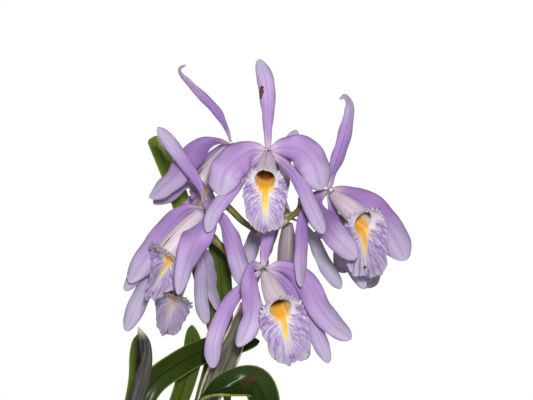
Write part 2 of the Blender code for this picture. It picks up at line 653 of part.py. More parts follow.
def make_bulb(number, bulb):
    """One ribbed, spindle-shaped pseudobulb."""
    def reach_at(share, angle):
        radius = bulb.radius * spline(BULB_SWELL, share)
        radius *= 1 + BULB_RIB_DEPTH * math.cos(BULB_RIBS * angle) * math.sin(math.pi * share)
        return radius * math.cos(angle), radius * math.sin(angle)
    made = skin_tube(f"pseudobulb_{number}", bulb_route(bulb), 2 * BULB_RIBS, BULB_STEPS, reach_at, BULB)
    round_shading(made)


def make_bulb_sheath(number, bulb):
    """The dry papery sheath round a pseudobulb's lower part, a little open at its top."""
    low, high = SHEATH_SHARES

    def reach_at(share, angle):
        swell = spline(BULB_SWELL, low + (high - low) * share) * (1 + BULB_RIB_DEPTH)
        radius = bulb.radius * swell + SHEATH_THICKNESS / 2 + 2 * GAP + share
        return radius * math.cos(angle), radius * math.sin(angle)
    route, _ = walk(bulb_route(bulb), [low + (high - low) * share for share in even_shares(2 * SHEATH_STEPS)])
    name = f"bulb_sheath_{number}"
    made = skin_tube(name, route, SHEATH_SIDES, SHEATH_STEPS, reach_at, PAPER, closed=False)
    thicken(made, SHEATH_THICKNESS)


def make_leaf(number, bulb):
    """A leathery leaf that starts square on the pseudobulb's top."""
    points, tangents = walk(bulb_route(bulb), (0, 1))
    aside = Vector((*bulb.leaf_at, 0))
    start = points[1] + tangents[1] * (2 * GAP - aside.dot(tangents[1])) + aside
    route = (start, start + tangents[1] * LEAF_FOOT, *bulb.leaf_route)
    faces = (bulb.leaf_face, bulb.leaf_face, bulb.leaf_tip_face)
    blade(f"leaf_{number}", LEAF, bulb.leaf_half_width, faces, route, LEAF_GREEN)


def make_spathes():
    reach_at = flat_reach(SPATHE_HALF_WIDTHS, SPATHE_HALF_DEPTHS)
    spathe = skin_tube("spathe", SPATHE_ROUTE, SPATHE_SIDES, SPATHE_STEPS, reach_at, PAPER, closed=False)
    thicken(spathe, SHEATH_THICKNESS)
    reach_at = flat_reach(OLD_SPATHE_HALF_WIDTHS, OLD_SPATHE_HALF_DEPTHS)
    old = skin_tube("old_spathe", OLD_SPATHE_ROUTE, SPATHE_SIDES, OLD_SPATHE_STEPS, reach_at, DRY)
    round_shading(old)


def receptacle_middle(bloom):
    """The middle of the round knob that a bloom's sepals and petals grow from."""
    return Vector(bloom.centre) + lip_frame(bloom)[0] * (RECEPTACLE_FRONT - RECEPTACLE_RADIUS)


def make_stalk():
    """The flower stalk and, branching from it, a pedicel and ovary for each bloom."""
    radii = [STALK_RADIUS * share for share in STALK_TAPER]
    stalk = round_tube("flower_stalk", STALK_ROUTE, radii, STALK_SIDES, STALK_STEPS, STEM)
    route = [Vector(point) for point in STALK_ROUTE]
    pedicels = []
    for bloom in BLOOMS.values():
        start = spline(route, bloom.stalk_share)
        middle = receptacle_middle(bloom)
        back = (Vector(bloom.pedicel[-1]) - middle).normalized()
        end = middle + back * (RECEPTACLE_RADIUS + 2 * GAP)
        radii = (PEDICEL_RADIUS, PEDICEL_RADIUS, OVARY_RADIUS, OVARY_RADIUS * 0.9)
        way = (start, *bloom.pedicel, end)
        pedicels.append(round_tube("pedicel", way, radii, PEDICEL_SIDES, PEDICEL_STEPS, STEM))
    boolean(stalk, "UNION", pedicels)
    round_shading(stalk)


def lip_frame(bloom):
    """The lip's directions: along its tube, to the lobe's side, to the right, and the lobe's lean."""
    axis = Vector(bloom.lip_axis).normalized()
    lobe = Vector(bloom.lip_lobe).normalized()
    down = (lobe - lobe.dot(axis) * axis).normalized()
    return axis, down, down.cross(axis), axis.angle(lobe)


def tube_radius(bloom, share):
    """The lip tube's radius at a share of its length."""
    throat = LIP_THROAT_RADIUS * bloom.lip_size
    swell = LIP_TUBE_SWELL * math.sin(math.pi * share)
    return LIP_BASE_RADIUS + (throat - LIP_BASE_RADIUS) * share + swell


def clear_of_tube(bloom):
    """A bend that moves a tepal's points outwards where they would touch the lip's tube."""
    centre = Vector(bloom.centre)
    axis = lip_frame(bloom)[0]
    length = RECEPTACLE_FRONT + LIP_TUBE_LENGTH * bloom.lip_size

    def bend(point):
        along = (point - centre).dot(axis)
        off = point - centre - axis * along
        if not 0 < along < length + TUBE_ROOM:
            return point
        start = min(1, along / (2 * RECEPTACLE_FRONT))
        least = (tube_radius(bloom, min(1, along / length)) + TUBE_ROOM) * start
        if off.length >= least:
            return point
        return centre + axis * along + off.normalized() * least
    return bend


def make_tepals(name, bloom):
    """Three sepals and two petals, grown together round the receptacle."""
    centre = Vector(bloom.centre)
    axis = lip_frame(bloom)[0]
    middle = receptacle_middle(bloom)
    bm = bmesh.new()
    bmesh.ops.create_icosphere(bm, subdivisions=2, radius=RECEPTACLE_RADIUS)
    bmesh.ops.translate(bm, vec=middle, verts=bm.verts)
    whole = mesh_object(f"{name}_bloom_tepals", bm, PETAL_LILAC)
    blades = []
    for tepal in bloom.tepals:
        route = [centre + Vector(step) for step in tepal.route]
        route.insert(0, middle + (route[0] - middle).normalized() * RECEPTACLE_RADIUS / 2)
        faces = (axis, tepal.face, tepal.tip_face)
        blades.append(blade("tepal", tepal.style, tepal.half_width, faces, route, PETAL_LILAC,
                            bend=clear_of_tube(bloom)))
    boolean(whole, "UNION", blades)
    drop_scraps(whole)


def lip_margin(angle):
    """How far the lip's margin lies from the throat's middle, at an angle from the lobe's side."""
    across, along = math.sin(angle) / LIP_HALF_WIDTH, math.cos(angle) / LIP_HALF_LENGTH
    drop = LIP_DROP / LIP_HALF_LENGTH
    square = across ** 2 + along ** 2
    return (along * drop + math.sqrt((along * drop) ** 2 + square * (1 - drop ** 2))) / square


def lip_point(bloom, row, around):
    """A point of the lip: row counts from the base to the margin, around goes from -1 to 1."""
    axis, down, right, lobe_flare = lip_frame(bloom)
    size = bloom.lip_size
    angle = math.pi * math.copysign(abs(around) ** LIP_CROWDING, around)
    out = down * math.cos(angle) + right * math.sin(angle)
    base = Vector(bloom.centre) + axis * (RECEPTACLE_FRONT + 2 * GAP)
    if row <= LIP_TUBE_ROWS:
        share = row / LIP_TUBE_ROWS
        return base + axis * LIP_TUBE_LENGTH * size * share + out * tube_radius(bloom, share)
    share = (row - LIP_TUBE_ROWS) / LIP_FLARE_ROWS
    facing = math.cos(angle)
    end_flare = lobe_flare if facing > 0 else LIP_TOP_FLARE
    side_flare = LIP_SIDE_FLARE + bloom.lip_turn * math.sin(angle)
    flare = end_flare * facing ** 2 + side_flare * (1 - facing ** 2)
    reach = (lip_margin(angle) - LIP_THROAT_RADIUS) * size * share
    reach *= 1 + LIP_TURN_REACH * bloom.lip_turn * max(0, -math.sin(angle))
    lean = flare * min(1, LIP_BEND_START + share)
    along = axis * math.cos(lean) + out * math.sin(lean)
    across = out * math.cos(lean) - axis * math.sin(lean)
    ruffle = LIP_RUFFLE * size * share ** 2 * math.cos(math.pi * LIP_SIDES / 2 * around)
    throat = base + axis * LIP_TUBE_LENGTH * size + out * LIP_THROAT_RADIUS * size
    return throat + along * reach + across * ruffle


def make_lip(name, bloom):
    """The trumpet lip: a tube round the column that flares into a ruffled hanging lobe."""
    rows = LIP_TUBE_ROWS + LIP_FLARE_ROWS
    bm = bmesh.new()
    bmesh.ops.create_grid(bm, x_segments=rows, y_segments=LIP_SIDES, size=1)
    for vertex in bm.verts:
        row = round((vertex.co.x + 1) / 2 * rows)
        vertex.co = lip_point(bloom, row, vertex.co.y)
    bmesh.ops.remove_doubles(bm, verts=bm.verts, dist=MERGE_NEAR)
    bmesh.ops.triangulate(bm, faces=bm.faces)
    lip = mesh_object(f"{name}_bloom_lip", bm, LIP_WHITE)
    thicken(lip, LIP_THICKNESS)


def make_column(name, bloom):
    """The club-shaped column that the lip's tube wraps."""
    axis, down, _, _ = lip_frame(bloom)
    base = Vector(bloom.centre) + axis * (RECEPTACLE_FRONT + 2 * GAP)
    tip = base + axis * COLUMN_LENGTH * bloom.lip_size - down * COLUMN_RADIUS
    radii = [COLUMN_RADIUS * share for share in COLUMN_SWELL]
    column = round_tube(f"{name}_bloom_column", (base, tip), radii, COLUMN_SIDES, COLUMN_STEPS, COLUMN_WHITE)
    round_shading(column)


for thing in list(bpy.data.objects):
    bpy.data.objects.remove(thing)

MODEL = bpy.data.collections.new("Cattleya orchid")
bpy.context.scene.collection.children.link(MODEL)
CLAY = material("Clay", (0.58, 0.26, 0.15), 0.85)
BARK = material("Bark", (0.17, 0.09, 0.05), 0.9)
ROOT = material("Root", (0.55, 0.56, 0.42), 0.8)
BULB = material("Pseudobulb", (0.24, 0.33, 0.12), 0.5)
PAPER = material("Papery sheath", (0.66, 0.58, 0.47), 0.75)
DRY = material("Dry spathe", (0.22, 0.20, 0.18), 0.85)
LEAF_GREEN = material("Leaf", (0.06, 0.14, 0.03), 0.35)
STEM = material("Flower stalk", (0.28, 0.28, 0.07), 0.55)
PETAL_LILAC = material("Sepals and petals", (0.56, 0.36, 0.72), 0.6)
LIP_WHITE = material("Lip", (0.78, 0.68, 0.84), 0.6)
COLUMN_WHITE = material("Column", (0.82, 0.7, 0.8), 0.5)

make_pot()
make_bark()
make_rhizome()
for bulb_number, bulb_plan in enumerate(BULBS, 1):
    make_bulb(bulb_number, bulb_plan)
    make_bulb_sheath(bulb_number, bulb_plan)
    make_leaf(bulb_number, bulb_plan)
make_spathes()
make_stalk()
for bloom_name, bloom_plan in BLOOMS.items():
    make_tepals(bloom_name, bloom_plan)
    make_lip(bloom_name, bloom_plan)
    make_column(bloom_name, bloom_plan)
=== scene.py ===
# %% [markdown]
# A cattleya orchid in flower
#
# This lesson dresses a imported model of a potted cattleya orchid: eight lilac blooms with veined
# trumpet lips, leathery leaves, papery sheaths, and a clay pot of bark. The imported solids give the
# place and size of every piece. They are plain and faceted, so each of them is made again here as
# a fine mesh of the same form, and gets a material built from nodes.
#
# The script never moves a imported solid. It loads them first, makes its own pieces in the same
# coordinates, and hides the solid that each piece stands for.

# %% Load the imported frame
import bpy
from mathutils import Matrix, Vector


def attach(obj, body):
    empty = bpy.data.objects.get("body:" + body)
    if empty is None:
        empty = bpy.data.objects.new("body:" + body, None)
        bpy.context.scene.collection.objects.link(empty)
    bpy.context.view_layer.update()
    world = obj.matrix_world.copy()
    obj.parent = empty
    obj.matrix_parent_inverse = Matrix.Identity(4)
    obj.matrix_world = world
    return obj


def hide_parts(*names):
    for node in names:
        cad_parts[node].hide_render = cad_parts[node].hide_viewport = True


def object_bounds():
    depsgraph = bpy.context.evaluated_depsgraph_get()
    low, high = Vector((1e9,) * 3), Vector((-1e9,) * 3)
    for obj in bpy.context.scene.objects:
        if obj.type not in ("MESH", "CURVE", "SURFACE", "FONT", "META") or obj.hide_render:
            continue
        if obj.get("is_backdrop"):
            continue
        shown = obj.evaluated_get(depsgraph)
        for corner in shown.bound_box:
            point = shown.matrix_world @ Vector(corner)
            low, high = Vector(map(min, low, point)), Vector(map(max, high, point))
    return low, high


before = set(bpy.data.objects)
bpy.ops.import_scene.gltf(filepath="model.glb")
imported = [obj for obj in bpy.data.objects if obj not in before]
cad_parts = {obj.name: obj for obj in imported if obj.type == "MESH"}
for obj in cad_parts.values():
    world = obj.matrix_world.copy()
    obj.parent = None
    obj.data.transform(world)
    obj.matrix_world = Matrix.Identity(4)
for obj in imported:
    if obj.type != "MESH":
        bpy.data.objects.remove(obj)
cad_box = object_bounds()
print("packed solids:", len(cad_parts), "box:", *(tuple(round(c, 4) for c in p) for p in cad_box))

# %% [markdown]
# Units and the camera
#
# The tables below are in millimetres, because a flower is easier to think of that way, and MM
# turns them into Blender's metres at the end. The camera comes first, so that every later piece
# can be judged through it. It stands level with the blooms, one and a half metres in front, and
# its lens makes one pixel of a 533 x 400 picture 0.8 mm wide at the blooms.

# %% Units and the camera
import bisect
import math
import random
from collections import namedtuple

import bmesh
import bpy
from mathutils import Matrix, Vector, noise

MM = 0.001
PICTURE_WIDTH = 533
PIXEL = 0.8 * MM
CAMERA_AWAY = 1.5
SENSOR = 36
VIEW_MIDDLE = Vector((0.046, 0, 0.460))

lens = bpy.data.cameras.new("Camera")
lens.sensor_width = SENSOR
lens.lens = SENSOR * CAMERA_AWAY / (PICTURE_WIDTH * PIXEL)
camera = bpy.data.objects.new("Camera", lens)
camera.location = VIEW_MIDDLE - Vector((0, CAMERA_AWAY, 0))
camera.rotation_euler = (math.radians(90), 0, 0)
bpy.context.scene.collection.objects.link(camera)
bpy.context.scene.camera = camera
print("lens:", round(lens.lens, 1), "mm")

# %% [markdown]
# Small tools for shader nodes
#
# Materials here are made of many small nodes, so a few short helpers keep them readable: one adds
# a node and fills its inputs with values or links, and three more do sums, ranges and colour
# mixes. Colours are given as the 0 to 255 numbers that a paint program shows.

# %% Small tools for shader nodes


def paint(red, green, blue):
    """A linear colour from screen values of 0 to 255, by the standard screen curve."""
    shares = [value / 255 for value in (red, green, blue)]
    return (*(((share + 0.055) / 1.055) ** 2.4 if share > 0.04 else share / 12.92 for share in shares), 1)


def node(tree, kind, inputs=None, **settings):
    """Adds a node, sets its properties, and fills inputs with values or with links."""
    made = tree.nodes.new(f"ShaderNode{kind}")
    for key, value in settings.items():
        setattr(made, key, value)
    for socket, value in (inputs or {}).items():
        if isinstance(value, bpy.types.NodeSocket):
            tree.links.new(value, made.inputs[socket])
        else:
            made.inputs[socket].default_value = value
    return made


def sums(tree, operation, first, second=0.0):
    return node(tree, "Math", {0: first, 1: second}, operation=operation).outputs[0]


def between(tree, value, low, high, start=0.0, end=1.0):
    """A smooth rise from start to end as the value goes from low to high."""
    inputs = {"Value": value, "From Min": low, "From Max": high, "To Min": start, "To Max": end}
    return node(tree, "MapRange", inputs, interpolation_type="SMOOTHSTEP").outputs["Result"]


def mixed(tree, factor, first, second):
    return node(tree, "Mix", {0: factor, 6: first, 7: second}, data_type="RGBA").outputs[2]


WHITE = paint(255, 255, 255)
BLACK = paint(0, 0, 0)
print("mid grey is", round(paint(128, 128, 128)[0], 3), "of white in linear light")

# %% [markdown]
# Light, backdrop and floor
#
# The plant was lit by one lamp close to the lens against a white ground: its front is bright and
# flat, and what stands behind is in soft grey shadow. A medium-sized area lamp just above the
# camera does that, with a weaker one from the left, another behind, and a pale world to fill. The
# world is white to the camera and dimmer as a light, which keeps the backdrop clean without
# washing the petals out. The floor is a wide pale disc that belongs to the stage, not the plant.

# %% Light, backdrop and floor
LAMPS = {
    "Key": {"place": (0.12, -1.5, 0.66), "size": 0.16, "power": 19},
    "Fill": {"place": (-1.1, -0.9, 0.9), "size": 0.9, "power": 3},
    "Back": {"place": (0.5, 1.3, 1.2), "size": 0.9, "power": 3},
}
WORLD_LIGHT = 0.17
FLOOR_RADIUS = 1.4
FLOOR_GREY = paint(238, 238, 240)


def lamp(name, place, size, power):
    """A round lamp that looks at the blooms."""
    light = bpy.data.lights.new(name, "AREA")
    light.shape = "DISK"
    light.size = size
    light.energy = power
    made = bpy.data.objects.new(name, light)
    made.location = place
    made.rotation_euler = (VIEW_MIDDLE - Vector(place)).to_track_quat("-Z", "Y").to_euler()
    bpy.context.scene.collection.objects.link(made)


def light_world():
    """A world that lights the plant dimly and is white to the camera."""
    world = bpy.data.worlds.new("World")
    world.use_nodes = True
    bpy.context.scene.world = world
    sky = world.node_tree
    ground_light = sky.nodes["Background"]
    ground_light.inputs["Color"].default_value = WHITE
    ground_light.inputs["Strength"].default_value = WORLD_LIGHT
    backdrop = node(sky, "Background", {"Color": WHITE})
    to_camera = node(sky, "LightPath")
    shown = {0: to_camera.outputs["Is Camera Ray"], 1: ground_light.outputs[0], 2: backdrop.outputs[0]}
    either = node(sky, "MixShader", shown)
    sky.links.new(either.outputs[0], sky.nodes["World Output"].inputs["Surface"])
    bpy.context.scene.view_settings.view_transform = "Standard"


def lay_floor():
    skin = bpy.data.materials.new("Pale floor")
    skin.use_nodes = True
    shader = skin.node_tree.nodes["Principled BSDF"]
    shader.inputs["Base Color"].default_value = FLOOR_GREY
    shader.inputs["Roughness"].default_value = 0.9
    bm = bmesh.new()
    bmesh.ops.create_circle(bm, cap_ends=True, radius=FLOOR_RADIUS, segments=96)
    mesh = bpy.data.meshes.new("Floor")
    bm.to_mesh(mesh)
    bm.free()
    mesh.materials.append(skin)
    floor = bpy.data.objects.new("Floor", mesh)
    bpy.context.scene.collection.objects.link(floor)
    floor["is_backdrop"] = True


for name, settings in LAMPS.items():
    lamp(name, **settings)
light_world()
lay_floor()
print("stage:", *LAMPS, "and a floor")

# %% [markdown]
# Effects that several finishes share
#
# Petals, lips and leaves all have veins that run from base to tip and fork a little; papery
# sheaths, bark and roots have long fibres; and everything has a soft, uneven tone. Each of these
# effects is a node group made once. Veins come from noise stretched along the piece's own UV map:
# where the noise crosses its middle value there is a thin line, and such lines wander and fork as
# real veins do, which a plain wave of stripes would not.

# %% Shared node groups
STRETCHED = [("UV", "Vector"), ("Across", "Float"), ("Along", "Float"), ("Seed", "Float")]


def new_group(name, inputs, output):
    """An empty node group with named sockets: the tree, its inputs, and a way to set its output."""
    tree = bpy.data.node_groups.new(name, "ShaderNodeTree")
    for label, kind in inputs:
        tree.interface.new_socket(name=label, in_out="INPUT", socket_type=f"NodeSocket{kind}")
    tree.interface.new_socket(name=output, in_out="OUTPUT", socket_type="NodeSocketFloat")
    start = tree.nodes.new("NodeGroupInput").outputs
    end = tree.nodes.new("NodeGroupOutput").inputs
    return tree, start, lambda value: tree.links.new(value, end[0])


def stretched_noise(tree, start, detail):
    """Noise on the UV map, drawn out along the piece by its Across and Along inputs."""
    parts = node(tree, "SeparateXYZ", {0: start["UV"]}).outputs
    across = sums(tree, "MULTIPLY", parts["X"], start["Across"])
    along = sums(tree, "MULTIPLY", parts["Y"], start["Along"])
    place = node(tree, "CombineXYZ", {0: across, 1: along, 2: start["Seed"]}).outputs[0]
    return node(tree, "TexNoise", {"Vector": place, "Scale": 1.0, "Detail": detail}).outputs["Fac"]


VEINS, start, finish = new_group("Forking veins", STRETCHED + [("Fineness", "Float")], "Lines")
from_middle = sums(VEINS, "ABSOLUTE", sums(VEINS, "SUBTRACT", stretched_noise(VEINS, start, 1.0), 0.5))
ridge = sums(VEINS, "SUBTRACT", 1.0, sums(VEINS, "MULTIPLY", from_middle, start["Fineness"]))
finish(sums(VEINS, "MAXIMUM", ridge, 0.0))

FIBRES, start, finish = new_group("Long fibres", STRETCHED, "Streaks")
finish(between(FIBRES, stretched_noise(FIBRES, start, 4.0), 0.35, 0.65))

TONE, start, finish = new_group("Uneven tone", [("Place", "Vector"), ("Scale", "Float")], "Tone")
cloud = node(TONE, "TexNoise", {"Vector": start["Place"], "Scale": start["Scale"], "Detail": 3.0})
finish(between(TONE, cloud.outputs["Fac"], 0.3, 0.7))
print("node groups:", [group.name for group in bpy.data.node_groups])

# %% [markdown]
# Margins and dried spots
#
# Two more effects are masks. The first is a margin: the UV map's U goes from 0 to 1 across a
# blade, so its distance from the middle says how near the edge a point is. The second is dried
# tissue, brown and with a ragged outline. It takes in the margin where a fine noise is high, and
# the bruises that are painted on the mesh, whose smooth discs the same noise frays.

# %% Margins and dried spots
SPOT_SCALE = 260.0
DRY_MARGIN = (0.56, 0.66)        # the noise at which a dried margin starts, and is full
FRAY = 0.5                       # how much the noise moves the outline of a bruise
BRUISE_OUTLINE = (0.84, 0.92)
BRUISE_REACH = (0.3, 0.45)       # nothing further out on the painted disc turns brown

MARGIN, start, finish = new_group("Margin", [("UV", "Vector"), ("From", "Float")], "Mask")
sideways = node(MARGIN, "SeparateXYZ", {0: start["UV"]}).outputs["X"]
aside = sums(MARGIN, "ABSOLUTE", sums(MARGIN, "SUBTRACT", sums(MARGIN, "MULTIPLY", sideways, 2.0), 1.0))
finish(between(MARGIN, aside, start["From"], 1.0))

DRIED, start, finish = new_group(
    "Dried spots", [("Place", "Vector"), ("Scar", "Float"), ("Margin", "Float")], "Mask")
spots = node(DRIED, "TexNoise", {"Vector": start["Place"], "Scale": SPOT_SCALE, "Detail": 3.0}).outputs["Fac"]
dry_edge = sums(DRIED, "MULTIPLY", start["Margin"], between(DRIED, spots, *DRY_MARGIN))
ragged = sums(DRIED, "ADD", start["Scar"], sums(DRIED, "MULTIPLY", spots, FRAY))
reached = between(DRIED, start["Scar"], *BRUISE_REACH)
bruise = sums(DRIED, "MULTIPLY", between(DRIED, ragged, *BRUISE_OUTLINE), reached)
finish(sums(DRIED, "MAXIMUM", dry_edge, bruise))
print("node groups:", len(bpy.data.node_groups))

# %% [markdown]
# What every finish starts from
#
# A painter lays coats over a ground, and a mask says where each coat shows. A Finish works the
# same way: it starts with one ground colour and lays others over it. Its masks come from the UV
# map, which runs across a petal or round a stem in U and from base to tip in V, from the Object
# coordinates, for tones that ignore the shape, and from attributes painted on the mesh:
#
# - scar is 1 at the middle of a bruise and fades out round it.
# - shade is each material's own second tone: the painted shadow grey of a bloom at the back, how
#   dark a leaf is painted, the pink end of an ovary, the cap of a column, the green of a root or a
#   chip's paleness.
# - fullness is how strong a bloom's lilac is.
# - floor is 1 along the middle of a lip's floor and below zero on its roof.

# %% What every finish starts from


class Finish:
    """A material with its shader, its colour so far, and the coordinates that its nodes read."""

    def __init__(self, name, ground, **constants):
        self.material = bpy.data.materials.new(name)
        self.material.use_nodes = True
        self.tree = self.material.node_tree
        self.shader = self.tree.nodes["Principled BSDF"]
        for label, value in constants.items():
            self.shader.inputs[label.replace("_", " ")].default_value = value
        self.uv = node(self.tree, "UVMap", uv_map="UVMap").outputs["UV"]
        split = node(self.tree, "SeparateXYZ", {0: self.uv}).outputs
        self.u, self.v = split["X"], split["Y"]
        self.place = node(self.tree, "TexCoord").outputs["Object"]
        self.colour = ground

    def attribute(self, name):
        return node(self.tree, "Attribute", attribute_name=name).outputs["Fac"]

    def noise(self, scale, detail=2.0, place=None):
        inputs = {"Vector": place or self.place, "Scale": scale, "Detail": detail}
        return node(self.tree, "TexNoise", inputs).outputs["Fac"]

    def sums(self, operation, first, second=0.0):
        return sums(self.tree, operation, first, second)

    def rise(self, value, low, high, start=0.0, end=1.0):
        return between(self.tree, value, low, high, start, end)

    def times(self, first, *others):
        """The share that is left after one mask after another."""
        for other in others:
            first = self.sums("MULTIPLY", first, other)
        return first

    def group(self, tree, **inputs):
        return node(self.tree, "Group", inputs, node_tree=tree).outputs[0]

    def veins(self, across, along, fineness, seed=0.0, uv=None):
        """Thin lines: how many across, how often they wander along, how fine they are."""
        return self.group(VEINS, UV=uv or self.uv, Across=across, Along=along, Seed=seed, Fineness=fineness)

    def fibres(self, across, along, seed=0.0):
        return self.group(FIBRES, UV=self.uv, Across=across, Along=along, Seed=seed)

    def tone(self, scale):
        return self.group(TONE, Place=self.place, Scale=scale)

    def margin(self, start):
        return self.group(MARGIN, UV=self.uv, From=start)

    def dried(self, margin):
        return self.group(DRIED, Place=self.place, Scar=self.attribute("scar"), Margin=margin)

    def lay(self, colour, mask, share=None):
        """Lays a colour over what is there, where the mask shows it, or at a share of the mask."""
        if share is not None:
            mask = self.times(mask, share)
        self.colour = mixed(self.tree, mask, self.colour, colour)

    def feed(self, label, value):
        self.tree.links.new(value, self.shader.inputs[label])

    def done(self, height=None, strength=0.0, depth=0.0):
        """Feeds the colour, and raises the surface by a height map whose depth is in millimetres."""
        self.feed("Base Color", self.colour)
        if height is not None:
            inputs = {"Height": height, "Strength": strength, "Distance": depth * MM}
            self.feed("Normal", node(self.tree, "Bump", inputs).outputs["Normal"])
        print("finish:", self.material.name, "with", len(self.tree.nodes), "nodes")
        return self.material


# %% [markdown]
# The finish of sepals and petals
#
# A petal is lilac: whitish pink where it leaves the middle, fullest in its lower half and paler
# and greyer towards the tip, with faint veins of a deeper lilac, a soft furrow down the middle and
# a hair-thin violet margin, brown where it has dried. Its surface is a soft velvet of tiny cells,
# so it is rough, with a sheen and a little light passing through it. A picture of a petal could
# be painted instead, but ranges of V and U give the same fades on every tepal, whatever its size.

# %% The finish of sepals and petals
LILAC = paint(184, 157, 202)
LILAC_DEEP = paint(146, 102, 176)
LILAC_PALE = paint(196, 186, 210)
PETAL_BASE = paint(222, 200, 212)
PETAL_GREY = paint(172, 168, 186)
MARGIN_VIOLET = paint(100, 52, 118)
DRIED_BROWN = paint(84, 38, 26)
PETAL_VEINS = (22.0, 2.2, 9.0)
FLESH_DEPTH = 0.002              # metres that light goes into a petal or lip before it comes out


def petal_finish():
    made = Finish("Petal", LILAC, Roughness=0.55, Subsurface_Weight=0.12,
                  Subsurface_Scale=FLESH_DEPTH, Sheen_Weight=0.15)
    made.lay(LILAC_DEEP, made.attribute("fullness"))
    made.lay(LILAC_PALE, made.rise(made.v, 0.45, 0.95, 0.0, 0.9))
    lower_half = made.times(made.rise(made.v, 0.06, 0.25), made.rise(made.v, 0.75, 0.3))
    made.lay(LILAC_DEEP, lower_half, 0.3)
    made.lay(LILAC_DEEP, made.tone(38.0), 0.22)
    made.lay(PETAL_BASE, made.rise(made.v, 0.16, 0.02, 0.0, 0.9))
    lines = made.veins(*PETAL_VEINS)
    made.lay(LILAC_DEEP, lines, 0.3)
    inwards = made.sums("SUBTRACT", 1.0, made.margin(0.0))
    made.lay(LILAC_DEEP, made.rise(inwards, 0.9, 1.0), 0.35)
    made.lay(LILAC_DEEP, made.margin(0.6), 0.5)
    # PETAL_GREY is the tip's own grey, and, through the shade attribute, the painted shadow of a bloom at the
    # back.
    greyed_tip = made.rise(made.v, 0.72, 1.0, 0.0, 0.45)
    made.lay(PETAL_GREY, made.sums("MAXIMUM", made.attribute("shade"), greyed_tip))
    made.lay(MARGIN_VIOLET, made.margin(0.93), 0.8)
    made.lay(DRIED_BROWN, made.dried(made.margin(0.94)))
    return made.done(made.times(lines, 0.6), 0.5, 0.12)


PETAL = petal_finish()

# %% [markdown]
# What the lip's finish starts from
#
# The lip is the bloom's showpiece. Its tube is pinkish cream outside. Inside, a golden fan fills
# the floor of the throat and runs out as a yellow stripe that pales and tapers down the lobe. The
# lobe itself is white with a lilac cast, crossed by fine violet veins that leave the stripe and
# fork towards the margin, and the crisped margin is greyish white.
#
# A lip needs to know where it is in millimetres and not in shares, so its mesh carries an
# attribute named lobe: how far across from the mid-line, how far down from the throat (below
# zero inside the tube), and how near the margin. Its finish is a Finish that reads these too.

# %% What the lip's finish starts from
LIP_WHITE = paint(212, 206, 216)
LIP_VEIN = paint(118, 64, 154)
LIP_MARGIN = paint(172, 164, 182)
LIP_GREY = paint(150, 140, 164)
LIP_COLLAR = paint(218, 214, 224)


class LipFinish(Finish):
    """A finish that also knows its place on the lip."""

    def __init__(self, name, ground, **constants):
        super().__init__(name, ground, **constants)
        lobe = node(self.tree, "Attribute", attribute_name="lobe").outputs["Vector"]
        parts = node(self.tree, "SeparateXYZ", {0: lobe}).outputs
        self.across, self.down, self.rim = parts["X"], parts["Y"], parts["Z"]
        self.beside = self.sums("ABSOLUTE", self.across)
        self.floor = self.attribute("floor")
        # 1 less the painted shadow of a lip at the back, which hides its gold and stripe.
        self.unshaded = self.sums("SUBTRACT", 1.0, self.attribute("shade"))

# %% [markdown]
# The feathered lobe
#
# The violet veins lean away from the mid-line like the barbs of a feather, and more so further
# down. Lines that run down the UV map can't do that. So the veins here are drawn on sheared
# millimetres: each point's level is its distance down, less a lean times its distance from the
# mid-line, and the shared vein group reads that in place of the UV map. A wide set reaches the
# whole lobe, and a fine one joins it towards the margin.

# %% The feathered lobe
WIDE_VEINS = (0.62, 0.035, 10.0, 3.0)
FINE_VEINS = (0.8, 0.1, 9.0, 8.0)
VEIN_LEAN = (0.3, 1.4)           # at the throat, and at LEAN_LENGTH down the lobe
LEAN_LENGTH = 40.0
PLAIN_MIDDLE = (1.5, 6.0)        # millimetres from the mid-line where the veins begin
GREYED_LOBE = (10.0, 30.0)       # millimetres down the lobe
SPLASH_DOWN = (27.0, 34.0)
SPLASH_BESIDE = (9.0, 2.0)


def feathered_veins(made):
    lean = made.rise(made.down, 0.0, LEAN_LENGTH, *VEIN_LEAN)
    level = made.sums("SUBTRACT", made.down, made.times(made.beside, lean))
    sheared = node(made.tree, "CombineXYZ", {0: level, 1: made.across}).outputs[0]
    wide = made.veins(*WIDE_VEINS, sheared)
    fine = made.veins(*FINE_VEINS, sheared)
    feather = made.sums("MAXIMUM", wide, made.times(fine, made.rise(made.rim, 0.2, 0.45)))
    broken = made.rise(made.fibres(50.0, 12.0, 2.0), 0.0, 1.0, 0.7, 1.0)
    veined = made.times(made.rise(made.beside, *PLAIN_MIDDLE), made.rise(made.rim, 1.0, 0.8),
                        made.rise(made.rim, 0.0, 0.3))
    return made.times(feather, broken, veined)


def lay_lobe(made, feather):
    made.lay(LIP_MARGIN, made.rise(made.rim, 0.7, 0.95, 0.0, 0.8))
    made.lay(LIP_VEIN, made.rise(made.rim, 0.25, 0.8), 0.26)
    made.lay(LIP_VEIN, feather)
    made.lay(LIP_MARGIN, made.rise(made.down, *GREYED_LOBE, 0.0, 0.35))
    made.lay(LIP_COLLAR, made.rise(made.floor, 0.2, -0.3), 0.75)
    splash = made.times(made.rise(made.down, *SPLASH_DOWN), made.rise(made.beside, *SPLASH_BESIDE))
    made.lay(LIP_VEIN, made.times(splash, made.tone(340.0)), 0.8)
    made.lay(LIP_MARGIN, made.rise(made.rim, 0.92, 1.0), 0.6)
